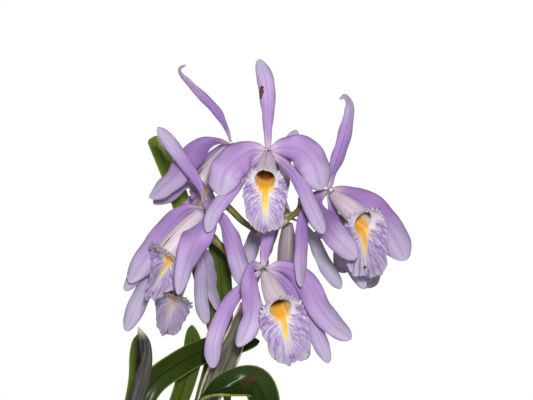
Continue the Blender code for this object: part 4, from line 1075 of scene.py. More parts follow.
BLOOMS = {
    "front": Bloom(
        (47, -30, 497), (-0.05, -0.86, -0.5), (0, -0.08, -1), 0, 0.96, 0.97,
        ((54, -2, 482),), 0.0,
        (
            Tepal(CLUB, 7, VIEWER, VIEWER, ((0, 2, 18), (0, 3, 40), (-2, 1, 58), (-7, -4, 73))),
            Tepal(PETAL_STYLE, 14.2, (0, -1, 0.2), (-0.2, -1, 0),
                  ((-13, 0, 1), (-25, -3, -6), (-34, -5, -17), (-38, -2, -33))),
            Tepal(PETAL_STYLE, 13.6, (0, -1, 0.2), (0.2, -1, 0),
                  ((13, 0, 4), (26, -3, 2), (36, -5, -9), (42, -2, -29))),
            Tepal(SEPAL, 6.4, VIEWER, VIEWER,
                  ((-14, 3, -10), (-28, 1, -29), (-41, -7, -45), (-47, -13, -62))),
            Tepal(SEPAL, 6.6, VIEWER, VIEWER,
                  ((13, 1, -9), (25, -4, -23), (34, -10, -43), (43, -17, -63))),
        ),
    ),
    "left": Bloom(
        (-4, -8, 453), (-0.62, -0.22, -0.75), (-0.5, 0.0, -0.87), 0, 1.06, 0.78,
        ((28, 6, 442), (12, 10, 456)), 0.05,
        (
            Tepal(SEPAL, 5.9, VIEWER, VIEWER, ((-4, 1, 18), (-14, 4, 35), (-25, 6, 50), (-37, 6, 65))),
            Tepal(PETAL_STYLE, 10.6, (0.1, -1, 0.4), (-0.2, -1, 0.2),
                  ((-14, 8, -2), (-31, 14, -18), (-46, 14, -38), (-60, 8, -59))),
            Tepal(BROAD, 13, (0.15, -0.9, -0.2), (0.2, -1, 0),
                  ((2, -15, -4), (-4, -26, -21), (-13, -29, -44), (-19, -27, -67))),
            Tepal(SEPAL, 7, (0.2, -0.9, 0.3), VIEWER,
                  ((-9, 17, -5), (-31, 25, -23), (-49, 23, -45), (-64, 16, -66))),
            Tepal(SEPAL, 8.4, VIEWER, VIEWER, ((12, 5, -6), (21, 4, -22), (27, 3, -41), (33, 0, -62))),
        ),
    ),
    "upper_left": Bloom(
        (16, 35, 504), (-0.58, -0.3, -0.76), (-0.3, 0.0, -0.95), 0, 0.92, 0.92,
        ((44, 24, 470), (32, 28, 494)), 0.1,
        (
            Tepal(SLIM, 4, (-0.2, -1, 0), (-0.4, -0.8, 0.3),
                  ((-4, 0, 16), (-13, 2, 31), (-26, 4, 44), (-39, 2, 57), (-41, -3, 63), (-36, -7, 66))),
            Tepal(PETAL_STYLE, 10.6, (0.1, -0.8, 0.6), (-0.1, -0.8, 0.6),
                  ((-13, -9, 2), (-30, -20, -8), (-46, -20, -26), (-65, -14, -42))),
            Tepal(PETAL_STYLE, 10, (0.4, 0.3, 0.8), (0.9, 0, 0.4),
                  ((8, 8, -4), (15, 18, -16), (19, 26, -34), (18, 30, -52))),
            Tepal(SEPAL, 6.8, (0, -0.8, 0.6), VIEWER,
                  ((-10, 14, -4), (-30, 16, -20), (-48, 12, -37), (-63, 6, -47))),
            Tepal(SEPAL, 6.8, VIEWER, VIEWER,
                  ((-4, 15, -12), (-17, 24, -31), (-34, 26, -50), (-50, 23, -68))),
        ),
    ),
    "right": Bloom(
        (97, -5, 466), (0.55, -0.66, -0.5), (0.14, 0, -0.99), 0.5, 1.02, 0.9,
        ((70, 4, 450), (84, 3, 463)), 0.0,
        (
            Tepal(SLIM, 6.2, (0.3, -0.9, 0), (0.4, -0.8, 0.2),
                  ((2, 2, 15), (8, 3, 32), (13, 3, 50), (16, 0, 68), (12, -4, 76), (7, -7, 74))),
            Tepal(PETAL_STYLE, 13.4, (0, -1, 0.2), (0.1, -1, 0.1),
                  ((14, 6, -2), (33, 8, -13), (49, 4, -32), (60, -1, -54))),
            Tepal(PETAL_STYLE, 10.5, (-0.5, -0.7, 0.4), (-0.5, -0.7, 0.3),
                  ((-9, -10, -6), (-7, -25, -19), (2, -42, -34), (18, -53, -51))),
            Tepal(SEPAL, 6, (0.3, -0.9, 0.3), (0.6, -0.8, 0),
                  ((-11, -2, -6), (-21, -9, -19), (-23, -19, -42), (-24, -31, -74))),
            Tepal(SEPAL, 6.4, VIEWER, VIEWER, ((3, 8, -17), (10, 11, -38), (18, 9, -58), (28, 5, -77))),
        ),
    ),
    "lower": Bloom(
        (44, -30, 404), (0.28, -0.77, -0.58), (0.24, 0, -0.97), 0.2, 1.05, 0.66,
        ((45, -18, 412),), 0.0,
        (
            Tepal(SEPAL, 6.4, VIEWER, VIEWER, ((1, 3, 14), (3, 6, 28), (4, 8, 42), (2, 8, 56))),
            Tepal(PETAL_STYLE, 10.4, (0, -1, 0.3), (0.3, -0.9, 0.3),
                  ((15, 3, 3), (32, 5, -8), (47, 2, -33), (68, -4, -53))),
            Tepal(PETAL_STYLE, 9, (-0.3, -0.6, 0.7), (-0.3, -1, 0.1),
                  ((-8, -8, 4), (-10, -18, -11), (-10, -25, -34), (-20, -28, -57))),
            Tepal(SEPAL, 6.8, VIEWER, VIEWER, ((13, 5, -6), (28, 10, -24), (41, 9, -49), (51, 4, -72))),
            Tepal(SEPAL, 7.4, VIEWER, VIEWER,
                  ((-13, 4, -10), (-28, 4, -27), (-39, 0, -53), (-40, -8, -75))),
        ),
    ),
    "back_middle": Bloom(
        (63.5, 30, 444), (-0.02, 0.2, -0.97), (0, 0.6, -0.8), 0, 0.9, 0.95,
        ((60, 20, 452),), 0.8,
        (
            Tepal(SEPAL, 6.4, VIEWER, VIEWER, ((-3, 3, 18), (-4, 5, 38), (0, 4, 56), (7, 0, 73))),
            Tepal(PETAL_STYLE, 10.5, (0.3, -0.5, 0.8), (0.6, -0.2, 0.7),
                  ((9, 10, 9), (17, 26, 12), (22, 43, 6), (24, 57, -9))),
            Tepal(PETAL_STYLE, 10.5, (-0.3, -0.5, 0.8), (-0.8, -0.2, 0.5),
                  ((-9, 10, 6), (-16, 26, 3), (-18, 42, -11), (-15, 54, -31))),
            Tepal(SEPAL, 6.4, VIEWER, VIEWER, ((11, -3, -4), (21, -4, -18), (32, -1, -39), (43, -3, -56))),
            Tepal(SEPAL, 7, VIEWER, VIEWER,
                  ((-12, -1, -2), (-24, 0, -11), (-32, 0, -28), (-38, -2, -50))),
        ),
    ),
    "back_left": Bloom(
        (-15, 25, 424), (-0.35, -0.2, -0.92), (-0.25, 0.2, -0.95), 0, 0.98, 0.6,
        ((24, 18, 408), (2, 26, 428)), 0.5,
        (
            Tepal(SEPAL, 6.6, (0, -0.4, 0.9), (0, 0, 1),
                  ((2, 14, 9), (4, 30, 14), (4, 46, 13), (2, 62, 7))),
            Tepal(PETAL_STYLE, 10.5, (0.3, -0.4, 0.8), (-0.2, -0.5, 0.8),
                  ((-13, 10, 3), (-29, 22, -3), (-42, 34, -14), (-50, 42, -30))),
            Tepal(SEPAL, 8, VIEWER, (-0.2, -1, 0),
                  ((-13, 2, -3), (-30, 0, -22), (-43, -4, -46), (-53, -6, -70))),
            Tepal(SEPAL, 6, VIEWER, VIEWER, ((6, 9, -9), (7, 9, -30), (8, 6, -47), (12, 2, -65))),
            Tepal(PETAL_STYLE, 8, (0.6, -0.6, 0), (0.7, -0.6, 0),
                  ((9, 10, -9), (15, 15, -24), (18, 15, -38), (22, 12, -55))),
        ),
    ),
    "back_right": Bloom(
        (119, 40, 436), (0.25, 0.88, -0.36), (0, 0.65, -0.7), 0, 0.85, 0.99,
        ((80, 26, 450), (104, 32, 446)), 1.0,
        (
            Tepal(SEPAL, 6.4, (0, 0.8, -0.5), (0, 0.3, -1),
                  ((3, 0, 12), (5, 8, 23), (5, 26, 29), (3, 44, 26))),
            Tepal(PETAL_STYLE, 10.5, (0.4, 0.9, 0.2), (0.6, 0.8, 0),
                  ((11, 4, 5), (22, 11, 3), (30, 21, -6), (34, 32, -18))),
            Tepal(PETAL_STYLE, 9, (-0.4, 0.8, 0.3), (-0.2, -0.4, 0.9),
                  ((-9, 3, 1), (-20, 8, 0), (-31, 12, -3), (-42, 14, -6))),
            Tepal(SEPAL, 6.8, (0, 0.5, -0.6), (0.2, 1, 0),
                  ((5, 0, -12), (12, -1, -25), (14, -2, -38), (9, -3, -48))),
            Tepal(SEPAL, 6.8, (0, 0.5, -0.6), (-0.4, 0.9, 0),
                  ((-6, 1, -11), (-11, 2, -20), (-11, 4, -28), (-6, 6, -35))),
        ),
    ),
}
print("blooms:", *BLOOMS)

# %% [markdown]
# The form of a lip
#
# A cattleya's lip is the petal that has changed most: its sides wrap the column as a tube, and
# the rest opens into a trumpet with a long lobe. One lip could be sculpted, but eight lips that
# lean and turn in eight ways are easier as one formula, worked out row by row from the base. In
# the tube a row is a ring, and past the throat the rows run out along a flare that leans further
# down on the lobe's side, as far as an oval margin.

# %% The form of a lip
RECEPTACLE_RADIUS = 4.4
RECEPTACLE_FRONT = 2.6
GAP = 0.3
LIP_TUBE_LENGTH = 40
LIP_BASE_RADIUS = 3.6
LIP_THROAT_RADIUS = 8.4
LIP_TUBE_SWELL = 1.5
LIP_HALF_WIDTH = 18.5
LIP_HALF_LENGTH = 30.5
LIP_DROP = 15
LIP_SIDE_FLARE = math.radians(66)
LIP_TOP_FLARE = math.radians(50)
LIP_TURN_REACH = 1.1
LIP_CROWDING = 1.3
LIP_TUBE_ROWS = 12
LIP_FLARE_ROWS = 34
LIP_SIDES = 168
LIP_THICKNESS = 0.8
SEAM_LAP = 0.5           # how far one edge of the rolled tube lies over the other
LAP_CROWDING = 8         # only the last part of the edge lifts
FLARE_BEND = 5           # the flare turns outwards soon after the throat


def lip_frame(bloom):
    """The lip's directions: along its tube, to the lobe's side, to the right, and the lobe's lean."""
    axis = Vector(bloom.lip_axis).normalized()
    lobe = Vector(bloom.lip_lobe).normalized()
    down = square_to(lobe, axis)
    return axis, down, down.cross(axis), axis.angle(lobe)


def tube_radius(bloom, share):
    """The lip tube's radius at a share of its length."""
    throat = LIP_THROAT_RADIUS * bloom.lip_size
    return LIP_BASE_RADIUS + (throat - LIP_BASE_RADIUS) * share + LIP_TUBE_SWELL * math.sin(math.pi * share)


def lip_margin(angle):
    """How far the lip's margin lies from the throat's middle, at an angle from the lobe's side."""
    across, along = math.sin(angle) / LIP_HALF_WIDTH, math.cos(angle) / LIP_HALF_LENGTH
    drop = LIP_DROP / LIP_HALF_LENGTH
    square = across ** 2 + along ** 2
    return (along * drop + math.sqrt((along * drop) ** 2 + square * (1 - drop ** 2))) / square


def lip_angle(around):
    """The angle from the lobe's side, with the sheet's points crowded there."""
    return math.pi * math.copysign(abs(around) ** LIP_CROWDING, around)


print("a lip's margin lies", round(lip_margin(0), 1), "mm down and", round(lip_margin(math.pi), 1), "mm up")

# %% [markdown]
# The lip's margin
#
# Towards its margin a lip's tissue has grown faster than its edge can hold flat, so it crisps:
# long waves carry short ones, and all of them grow only near the edge. A cloth simulation could
# do that, but its waves come where they like. Here each wave is a small formula that can be
# changed alone. The margin's reach is also uneven, with two shoulders beside a shallow nick.

# %% The lip's margin
UNEVEN = 0.13            # how much the reach varies, as a share of itself
UNEVEN_TURNS = (8, 24)
SHOULDER = 0.07
SHOULDER_TURNED = 0.1    # more on a lip whose lobe is turned aside
SHOULDER_AT = 0.42       # angles from the lobe's middle, in radians
SHOULDER_WIDTH = 0.2
NICK = 0.05
NICK_WIDTH = 0.2
LONG_WAVE = 1.7          # heights of the waves, in millimetres
CRISP = 2.1
FINE_CRISP = 0.8
CRISPS = 26              # half waves on each side
FINE_CRISPS = 67


def flare_reach(bloom, angle, around, share, seed):
    """How far the flare has run out from the throat."""
    low, high = UNEVEN_TURNS
    noisy = rough(around * low, seed) + 0.45 * rough(around * high, seed + 2)
    ragged = 1 + UNEVEN * share ** 2 * noisy
    shoulder = SHOULDER + SHOULDER_TURNED * bloom.lip_turn
    ragged += shoulder * bell(abs(angle) - SHOULDER_AT, SHOULDER_WIDTH) * share
    ragged -= NICK * bell(angle, NICK_WIDTH) * share
    reach = (lip_margin(angle) - LIP_THROAT_RADIUS) * bloom.lip_size * share * ragged
    return reach * (1 + LIP_TURN_REACH * bloom.lip_turn * max(0, -math.sin(angle)))


def crisping(around, share, seed):
    """How far the flare waves to and fro: a long wave, a crisp and a finer one, more outwards."""
    strength = 0.6 + 0.8 * rough(around * 5, seed + 9)
    wander = 3 * rough(around * 7, seed)
    height = LONG_WAVE * share ** 2 * rough(around * 12, share * 1.5, seed + 4)
    height += CRISP * share ** 4 * strength * math.sin(CRISPS * math.pi * around + wander)
    return height + FINE_CRISP * share ** 6 * math.sin(FINE_CRISPS * math.pi * around + seed)


print("half way out a lip waves by", round(crisping(0.3, 0.5, 0), 2), "mm, and at its margin by",
      round(crisping(0.3, 1, 0), 2), "mm")

# %% [markdown]
# The lip as one sheet
#
# The tube and the flare are one sheet, so that there is no seam at the throat. It is a grid whose
# rows first climb the tube and then run out along the flare. A shallow channel runs down the
# middle of the lobe and holds the yellow stripe. The same rows and angles also give each point
# its place in millimetres for the lobe attribute, which the finish reads.

# %% The lip as one sheet
CHANNEL = 1.1            # its depth in millimetres, and its width as an angle
CHANNEL_WIDTH = 0.16


def lip_point(bloom, row, around, seed):
    """A point of the lip: row counts from the base to the margin, around goes from -1 to 1."""
    axis, down, right, lobe_flare = lip_frame(bloom)
    size = bloom.lip_size
    angle = lip_angle(around)
    facing = math.cos(angle)
    out = down * facing + right * math.sin(angle)
    base = Vector(bloom.centre) + axis * (RECEPTACLE_FRONT + 2 * GAP)
    lap = SEAM_LAP * math.copysign(abs(around) ** LAP_CROWDING, around)
    if row <= LIP_TUBE_ROWS:
        share = row / LIP_TUBE_ROWS
        return base + axis * LIP_TUBE_LENGTH * size * share + out * (tube_radius(bloom, share) + lap)
    share = (row - LIP_TUBE_ROWS) / LIP_FLARE_ROWS
    end_flare = lobe_flare if facing > 0 else LIP_TOP_FLARE
    side_flare = LIP_SIDE_FLARE + bloom.lip_turn * math.sin(angle)
    flare = end_flare * facing ** 2 + side_flare * (1 - facing ** 2)
    lean = flare * (1 - (1 - share) ** FLARE_BEND)
    along = axis * math.cos(lean) + out * math.sin(lean)
    across = out * math.cos(lean) - axis * math.sin(lean)
    channel = CHANNEL * bell(angle, CHANNEL_WIDTH) * (1 - share) * min(1, 4 * share)
    throat = base + axis * LIP_TUBE_LENGTH * size + out * (LIP_THROAT_RADIUS * size + lap)
    reach = flare_reach(bloom, angle, around, share, seed)
    return throat + along * reach + across * (crisping(around, share, seed) * size - channel)


def lip_place(bloom, row, around):
    """What the lobe attribute holds: across and down in millimetres, and how near the margin."""
    angle = lip_angle(around)
    size = bloom.lip_size
    if row <= LIP_TUBE_ROWS:
        share = row / LIP_TUBE_ROWS
        return (tube_radius(bloom, share) * math.sin(angle), (share - 1) * LIP_TUBE_LENGTH * size, 0)
    share = (row - LIP_TUBE_ROWS) / LIP_FLARE_ROWS
    reach = (lip_margin(angle) - LIP_THROAT_RADIUS) * size * share
    across = (LIP_THROAT_RADIUS * size + reach) * math.sin(angle)
    return (across, reach * max(0, math.cos(angle)), share)


def make_lip(name, bloom, seed):
    rows = LIP_TUBE_ROWS + LIP_FLARE_ROWS
    bm = new_mesh("scar", "floor", "shade", "lobe")
    marks = {
        "scar": lambda row, side, point: scar_at(f"{name}_lip", point),
        "shade": lambda row, side, point: bloom.shade,
        "floor": lambda row, side, point: math.cos(lip_angle(side)),
        "lobe": lambda row, side, point: Vector(lip_place(bloom, row, side)),
    }
    add_sheet(bm, even_shares(rows), LIP_SIDES,
              lambda row, side: lip_point(bloom, row, side, seed), marks)
    finish_piece(f"{name}_lip", bm, (LIP_FACE, LIP_BACK), [f"{name}_bloom_lip"], LIP_THICKNESS)


# %% [markdown]
# Bruises and the strength of the lilac
#
# This plant is not perfect, and its bruises are part of it: a brown notch in the front bloom's
# upper sepal, brown spots on some petals and two lips, and a dark scar along the big leaf at the
# right. Each bruise is a row of spots for one piece: a place, in millimetres to the right and up,
# and a radius. The scar attribute takes these, so nothing has to be painted by hand.
#
# Some blooms are also a fuller lilac than others, and FULLNESS says how much.

# %% Bruises and the strength of the lilac
BRUISES = {
    "front": ((42.2, 548, 5), (42.4, 545.5, 5.5), (41.6, 543, 5.5), (41, 540.5, 5)),
    "lower": ((83.2, 406.4, 12),),
    "lower_lip": ((48, 338.3, 3.5),),
    "left": ((-52, 432, 9), (-23.2, 432.8, 7)),
    "right": ((128, 410, 4),),
    "right_lip": ((123.2, 407.2, 4),),
    "leaf_6": (
        (27, 316.5, 4), (30, 317, 5), (33, 318.5, 5.5), (36, 321, 5.5), (39, 324, 5), (41, 326.5, 4.5),
    ),
}
FULLNESS = {"front": 0.0, "lower": 0.2, "right": 0.55, "left": 0.35, "upper_left": 0.85}
USUAL_FULLNESS = 0.2


def scar_at(name, point):
    """1 in the middle of a bruise, 0 where there is none."""
    found = [1 - math.hypot(point.x - x, point.z - z) / radius for x, z, radius in BRUISES.get(name, ())]
    return max([0.0, *found])


print("bruised pieces:", *BRUISES)

# %% [markdown]
# Sepals and petals
#
# Three sepals and two petals stand round the lip, together called tepals. One could be cut from
# a plane and bent by modifiers, but those can't give each tepal its own twist. So a tepal is a
# sheet that is bent along its route and rolled across, so that its margins turn back. On top of
# that it has a furrow down the middle, a wave and a fine frill that grow towards the margin, and
# a margin that is never quite even. Where a tepal would touch the lip's tube it is moved
# outwards, as the solids are.

# %% Sepals and petals
TIP_CROWDING = 1.25
TIP_SHARE = 0.2
TEPAL_STEPS = 40
TEPAL_ACROSS = 16
TEPAL_THICKNESS = 0.8
TUBE_ROOM = 3.0          # how far tepals keep from the lip's tube
UNEVEN_MARGIN = 0.08
WAVE_TURNS = 9
FRILL = 0.12             # the frill's height as a share of the half width
FRILL_TURNS = 26
BUCKLE = 0.5
FURROW_DEPTH = 0.6
FURROW_WIDTH = 0.1
OTHER_SIDE = 3           # keeps the noise of a blade's two margins apart


def clear_of_tube(bloom):
    """A bend that moves a tepal's points outwards where they would touch the lip's tube."""
    centre = Vector(bloom.centre)
    axis = lip_frame(bloom)[0]
    length = RECEPTACLE_FRONT + LIP_TUBE_LENGTH * bloom.lip_size

    def bend(point):
        along = (point - centre).dot(axis)
        off = point - centre - axis * along
        if not 0 < along < length + TUBE_ROOM:
            return point
        start = min(1, along / (2 * RECEPTACLE_FRONT))
        least = (tube_radius(bloom, min(1, along / length)) + TUBE_ROOM) * start
        if off.length >= least:
            return point
        return centre + axis * along + off.normalized() * least
    return bend


def half_width_at(outline, share, tip=TIP_SHARE):
    """A blade's half width as a share of its greatest, with the tip rounded to a soft point."""
    into_tip = max(0, (share - 1 + tip) / tip)
    return spline(outline, share) * (1 - into_tip ** 2) ** 0.55


def add_tepal(bm, name, bloom, tepal, seed):
    centre = Vector(bloom.centre)
    axis = lip_frame(bloom)[0]
    middle = centre + axis * (RECEPTACLE_FRONT - RECEPTACLE_RADIUS)
    route = [centre + Vector(step) for step in tepal.route]
    route.insert(0, middle + (route[0] - middle).normalized() * RECEPTACLE_RADIUS / 2)
    shares = crowded(even_shares(TEPAL_STEPS), TIP_CROWDING)
    frames = blade_frames(route, (axis, tepal.face, tepal.tip_face), shares)
    style = tepal.style
    bend = clear_of_tube(bloom)

    def place(row, side):
        share = shares[row]
        point, across, normal = frames[row]
        half = tepal.half_width * half_width_at(style.outline, share)
        half *= 1 + UNEVEN_MARGIN * rough(share * 6, math.copysign(OTHER_SIDE, side), seed)
        turn = style.roll * side
        reach = half * math.sin(turn) / style.roll
        rise = -half * (1 - math.cos(turn)) / style.roll
        rise += style.wave * half * side * side * math.sin(WAVE_TURNS * share + 2 * side)
        rise += FRILL * half * abs(side) ** 4 * math.sin(FRILL_TURNS * share + seed + 2 * side)
        rise -= FURROW_DEPTH * bell(side, FURROW_WIDTH) * (1 - 0.7 * share)
        rise += BUCKLE * rough(share * 4, side, seed + 5) * min(1, 4 * share)
        return bend(point + across * reach + normal * rise)
    marks = {
        "scar": lambda row, side, point: scar_at(name, point),
        "shade": lambda row, side, point: bloom.shade,
        "fullness": lambda row, side, point: FULLNESS.get(name, USUAL_FULLNESS),
    }
    add_sheet(bm, shares, TEPAL_ACROSS, place, marks)


def make_tepals(name, bloom, seed):
    bm = new_mesh("scar", "shade", "fullness")
    for number, tepal in enumerate(bloom.tepals):
        add_tepal(bm, name, bloom, tepal, seed + number)
    finish_piece(f"{name}_petals", bm, (PETAL,), [f"{name}_bloom_tepals"], TEPAL_THICKNESS)


# %% [markdown]
# The column
#
# The column is the one organ that an orchid's stamen and style have grown into. It lies under
# the roof of the lip's tube, is club-shaped and hollow below, and ends in a small cap over the
# pollen. Little of it shows, so a tube with a hollow side and a rounded cap is enough.

# %% The column
COLUMN_LENGTH = 27
COLUMN_RADIUS = 1.9
COLUMN_RADII = (1.0, 0.95, 1.0, 1.25, 1.3, 1.15, 0.25)
COLUMN_STEPS = 24
HOLLOW = 0.35
HOLLOW_WIDTH = 0.7


def make_column(name, bloom):
    axis, down, _, _ = lip_frame(bloom)
    base = Vector(bloom.centre) + axis * (RECEPTACLE_FRONT + 2 * GAP)
    tip = base + axis * COLUMN_LENGTH * bloom.lip_size - down * COLUMN_RADIUS
    shares = crowded(even_shares(COLUMN_STEPS), 2)
    frames = tube_frames((base, tip), shares)
    bm = new_mesh("shade")

    def place(row, side):
        point, _, _ = frames[row]
        angle = side * math.pi
        hollow = 1 - HOLLOW * bell(angle, HOLLOW_WIDTH) * math.sin(math.pi * shares[row])
        radius = COLUMN_RADIUS * spline(COLUMN_RADII, shares[row]) * hollow
        return point + (down * math.cos(angle) + axis.cross(down) * math.sin(angle)) * radius
    marks = {"shade": lambda row, side, point: shares[row]}
    add_sheet(bm, shares, COLUMN_STEPS, place, marks, seamless=True)
    bmesh.ops.recalc_face_normals(bm, faces=bm.faces)
    finish_piece(f"{name}_column", bm, (COLUMN_SKIN,), [f"{name}_bloom_column"])


# %% [markdown]
# Growing the eight blooms
#
# Each bloom on the plant is three pieces: its tepals, its lip and its column. One mesh could be
# copied and turned eight times, but no two of the real blooms match. So the same three functions
# run on each bloom's own plan, and seeds that differ give each its own waves and uneven margins.

# %% Growing the eight blooms
SEED_STEP = 10
LIP_SEED = 3

for number, (name, bloom) in enumerate(BLOOMS.items()):
    make_tepals(name, bloom, SEED_STEP * number)
    make_lip(name, bloom, SEED_STEP * number + LIP_SEED)
    make_column(name, bloom)
print("bloom pieces and faces:", made_pieces)

# %% [markdown]
# The flower stalk
#
# One stalk rises out of the spathe and leans right, and each bloom's pedicel branches from it and
# swells into the ovary behind the bloom. The real thing is one growth, so all of it is one piece.
# A curve with a round bevel would be smooth all over. A tube whose reach depends on the angle can
# be faintly ribbed, as pedicels and ovaries are. A small dry bract wraps the foot of each.

# %% The flower stalk
STALK_RADIUS = 2.8
STALK_TAPER = (0.9, 1, 0.97, 0.94, 0.9, 0.82, 0.5)
STALK_RIBS = 7
STALK_RIB_DEPTH = 0.03   # depths are shares of the radius
PEDICEL_RADIUS = 1.7
OVARY_RADIUS = 2.4
PEDICEL_RADII = (PEDICEL_RADIUS, PEDICEL_RADIUS * 1.05, OVARY_RADIUS, OVARY_RADIUS * 1.1, 3.0, 2.4)
PEDICEL_STEPS = 36
PEDICEL_RIBS = 6
PEDICEL_RIB_DEPTH = 0.07
PINK_FROM = 0.75         # the share of a pedicel and ovary where the petals' pink begins
BRACT_SHARES = [0.06 + 0.14 * share for share in even_shares(8)]
BRACT_RADII = (PEDICEL_RADIUS + 0.5, PEDICEL_RADIUS + 0.6)
BRACT_RIBS = 3
BRACT_RIB_DEPTH = 0.1
BRACT_THICKNESS = 0.3


def ribbed_reach(radii, ribs, depth):
    """A round reach with a few soft ribs that fade out towards both ends."""
    def reach_at(share, angle):
        rib = depth * math.cos(ribs * angle) * math.sin(math.pi * share)
        return ring(spline(radii, share) * (1 + rib), angle)
    return reach_at


def make_stalk():
    bm = new_mesh("shade")
    bracts = new_mesh()
    radii = [STALK_RADIUS * share for share in STALK_TAPER]
    add_tube(bm, STALK_ROUTE, even_shares(60), 20, ribbed_reach(radii, STALK_RIBS, STALK_RIB_DEPTH))
    route = [Vector(point) for point in STALK_ROUTE]
    marks = {"shade": lambda row, side, point: max(0, row / PEDICEL_STEPS - PINK_FROM) * 2}
    for bloom in BLOOMS.values():
        start = spline(route, bloom.stalk_share)
        axis = lip_frame(bloom)[0]
        middle = Vector(bloom.centre) + axis * (RECEPTACLE_FRONT - RECEPTACLE_RADIUS)
        way = (start, *bloom.pedicel, middle)
        add_tube(bm, way, even_shares(PEDICEL_STEPS), 18,
                 ribbed_reach(PEDICEL_RADII, PEDICEL_RIBS, PEDICEL_RIB_DEPTH), marks)
        add_tube(bracts, way, BRACT_SHARES, 14, ribbed_reach(BRACT_RADII, BRACT_RIBS, BRACT_RIB_DEPTH))
    finish_piece("flower_stalk_grown", bm, (STEM_SKIN,), ["flower_stalk"])
    finish_piece("bracts", bracts, (BRACT_SKIN,), thickness=BRACT_THICKNESS)


make_stalk()
print("stalk and bracts:", made_pieces[-2:])

# %% [markdown]
# Leaves
#
# Each pseudobulb carries one stiff, strap-like leaf, thick as leather, folded a little along its
# middle and with a rounded tip. The tallest one ends in a cut-off tip. A leaf could be a flat
# plane with a see-through outline, but then it would have no edge. Here it is a sheet with a real
# thickness, so its margin shows as a pale line; the small bevel there catches the light.
#
# The table below says how dark each leaf is painted, partly for its own green and partly as painted
# light and shade: the fifth, which stands behind the blooms in their shadow, is painted lightest,
# and the second and the last darkest.

# %% Leaves
LEAF_DARKNESS = (0.55, 0.94, 0.7, 0.62, 0.0, 1.0)
LEAF_THICKNESS = 1.8
LEAF_OUTLINE = (0.3, 0.66, 0.9, 1.0, 1.0, 0.97, 0.88)
LEAF_ROLL = -0.5
LEAF_STEPS = 60
LEAF_ACROSS = 18
LEAF_TIP_CROWDING = 1.4
LEAF_NECK = 12           # how far a leaf goes on in its pseudobulb's direction
LEAF_FOLD_DEPTH = 1.3
LEAF_FOLD_WIDTH = 0.09
LEAF_BEVEL = 0.45
LEAF_UNEVEN = 0.02
CUT_LEAF = 5
CUT_TIP = 0.015
BULB_BOW = 0.12
RHIZOME_RADIUS = 4.5
RHIZOME_LEVEL = 105.5
Bulb = namedtuple("Bulb", "foot top radius leaf_at leaf_half_width leaf_face leaf_tip_face leaf_route")
BULBS = (
    Bulb((-48, 3), (-70, 5, 236), 8, (0, 0), 9.5, VIEWER, VIEWER,
         ((-67, 1, 262), (-58, 3, 298), (-55, 7, 326), (-58, 11, 351))),
    Bulb((-29, -4), (-60, -26, 244), 8.5, (1, 1.6), 10.4, (0.6, -0.7, 0.4), (0.3, -0.9, 0.4),
         ((-61, -22, 275), (-47, -16, 311), (-26, -4, 328), (0, 16, 339), (40, 24, 345))),
    Bulb((-12, 3), (-34, 20, 256), 8.5, (0, 0), 8, (0.2, -1, 0.2), VIEWER,
         ((-31, 22, 282), (-22, 22, 306), (-14, 22, 334), (-15, 22, 358))),
    Bulb((6, -2), (-9, 2, 278), 9.5, (0, 2.4), 9, (0, -1, 0.1), (0.1, -1, 0.1),
         ((-5, 16, 302), (8, 42, 345), (8, 62, 395), (1, 68, 432))),
    Bulb((23, 3), (14, 40, 290), 9, (0, 0), 8.5, (0.3, -0.9, 0.3), (0.2, -0.9, 0.3),
         ((10, 52, 325), (-8, 80, 395), (-28, 98, 460), (-50, 100, 514))),
    Bulb((40, -3), (43, -22, 250), 8.5, (0, 0), 12.5, (-0.1, -0.9, 0.4), (-0.2, 0.1, 1),
         ((45, -27, 275), (45, -32, 300), (36, -36, 318), (14, -40, 314), (-6, -43, 304))),
)
BULB_SWELL = (0.5, 0.74, 0.95, 1.0, 0.9, 0.68, 0.42)


def bulb_route(bulb):
    """From foot to top, bowed a little so that it leaves the rhizome more upright."""
    foot = Vector((*bulb.foot, RHIZOME_LEVEL + RHIZOME_RADIUS + 2 * GAP))
    top = Vector(bulb.top)
    bow = Vector((top.x - foot.x, top.y - foot.y, 0)) * BULB_BOW
    return (foot, foot.lerp(top, 0.5) - bow, top)


def make_leaf(number, bulb):
    points, tangents = walk(bulb_route(bulb), (0, 1))
    aside = Vector((*bulb.leaf_at, 0))
    start = points[1] + tangents[1] * (2 * GAP - aside.dot(tangents[1])) + aside
    route = (start, start + tangents[1] * LEAF_NECK, *bulb.leaf_route)
    shares = crowded(even_shares(LEAF_STEPS), LEAF_TIP_CROWDING)
    tip = CUT_TIP if number == CUT_LEAF else TIP_SHARE
    frames = blade_frames(route, (bulb.leaf_face, bulb.leaf_face, bulb.leaf_tip_face), shares)

    def place(row, side):
        share = shares[row]
        point, across, normal = frames[row]
        half = bulb.leaf_half_width * half_width_at(LEAF_OUTLINE, share, tip)
        half *= 1 + LEAF_UNEVEN * rough(share * 5, math.copysign(OTHER_SIDE, side), number)
        turn = LEAF_ROLL * side
        reach = half * math.sin(turn) / LEAF_ROLL
        rise = -half * (1 - math.cos(turn)) / LEAF_ROLL
        rise -= LEAF_FOLD_DEPTH * bell(side, LEAF_FOLD_WIDTH) * min(1, 6 * (1 - share))
        rise += BUCKLE * rough(share * 3, side, number + 4)
        return point + across * reach + normal * rise
    bm = new_mesh("scar", "shade")
    marks = {
        "scar": lambda row, side, point: scar_at(f"leaf_{number}", point),
        "shade": lambda row, side, point: LEAF_DARKNESS[number - 1],
    }
    add_sheet(bm, shares, LEAF_ACROSS, place, marks)
    finish_piece(f"leaf_{number}_grown", bm, (LEAF_SKIN, LEAF_BACK), [f"leaf_{number}"],
                 LEAF_THICKNESS, LEAF_BEVEL)


for number, bulb in enumerate(BULBS, 1):
    make_leaf(number, bulb)
print("leaves:", len(BULBS), "of", made_pieces[-1][1], "faces each")

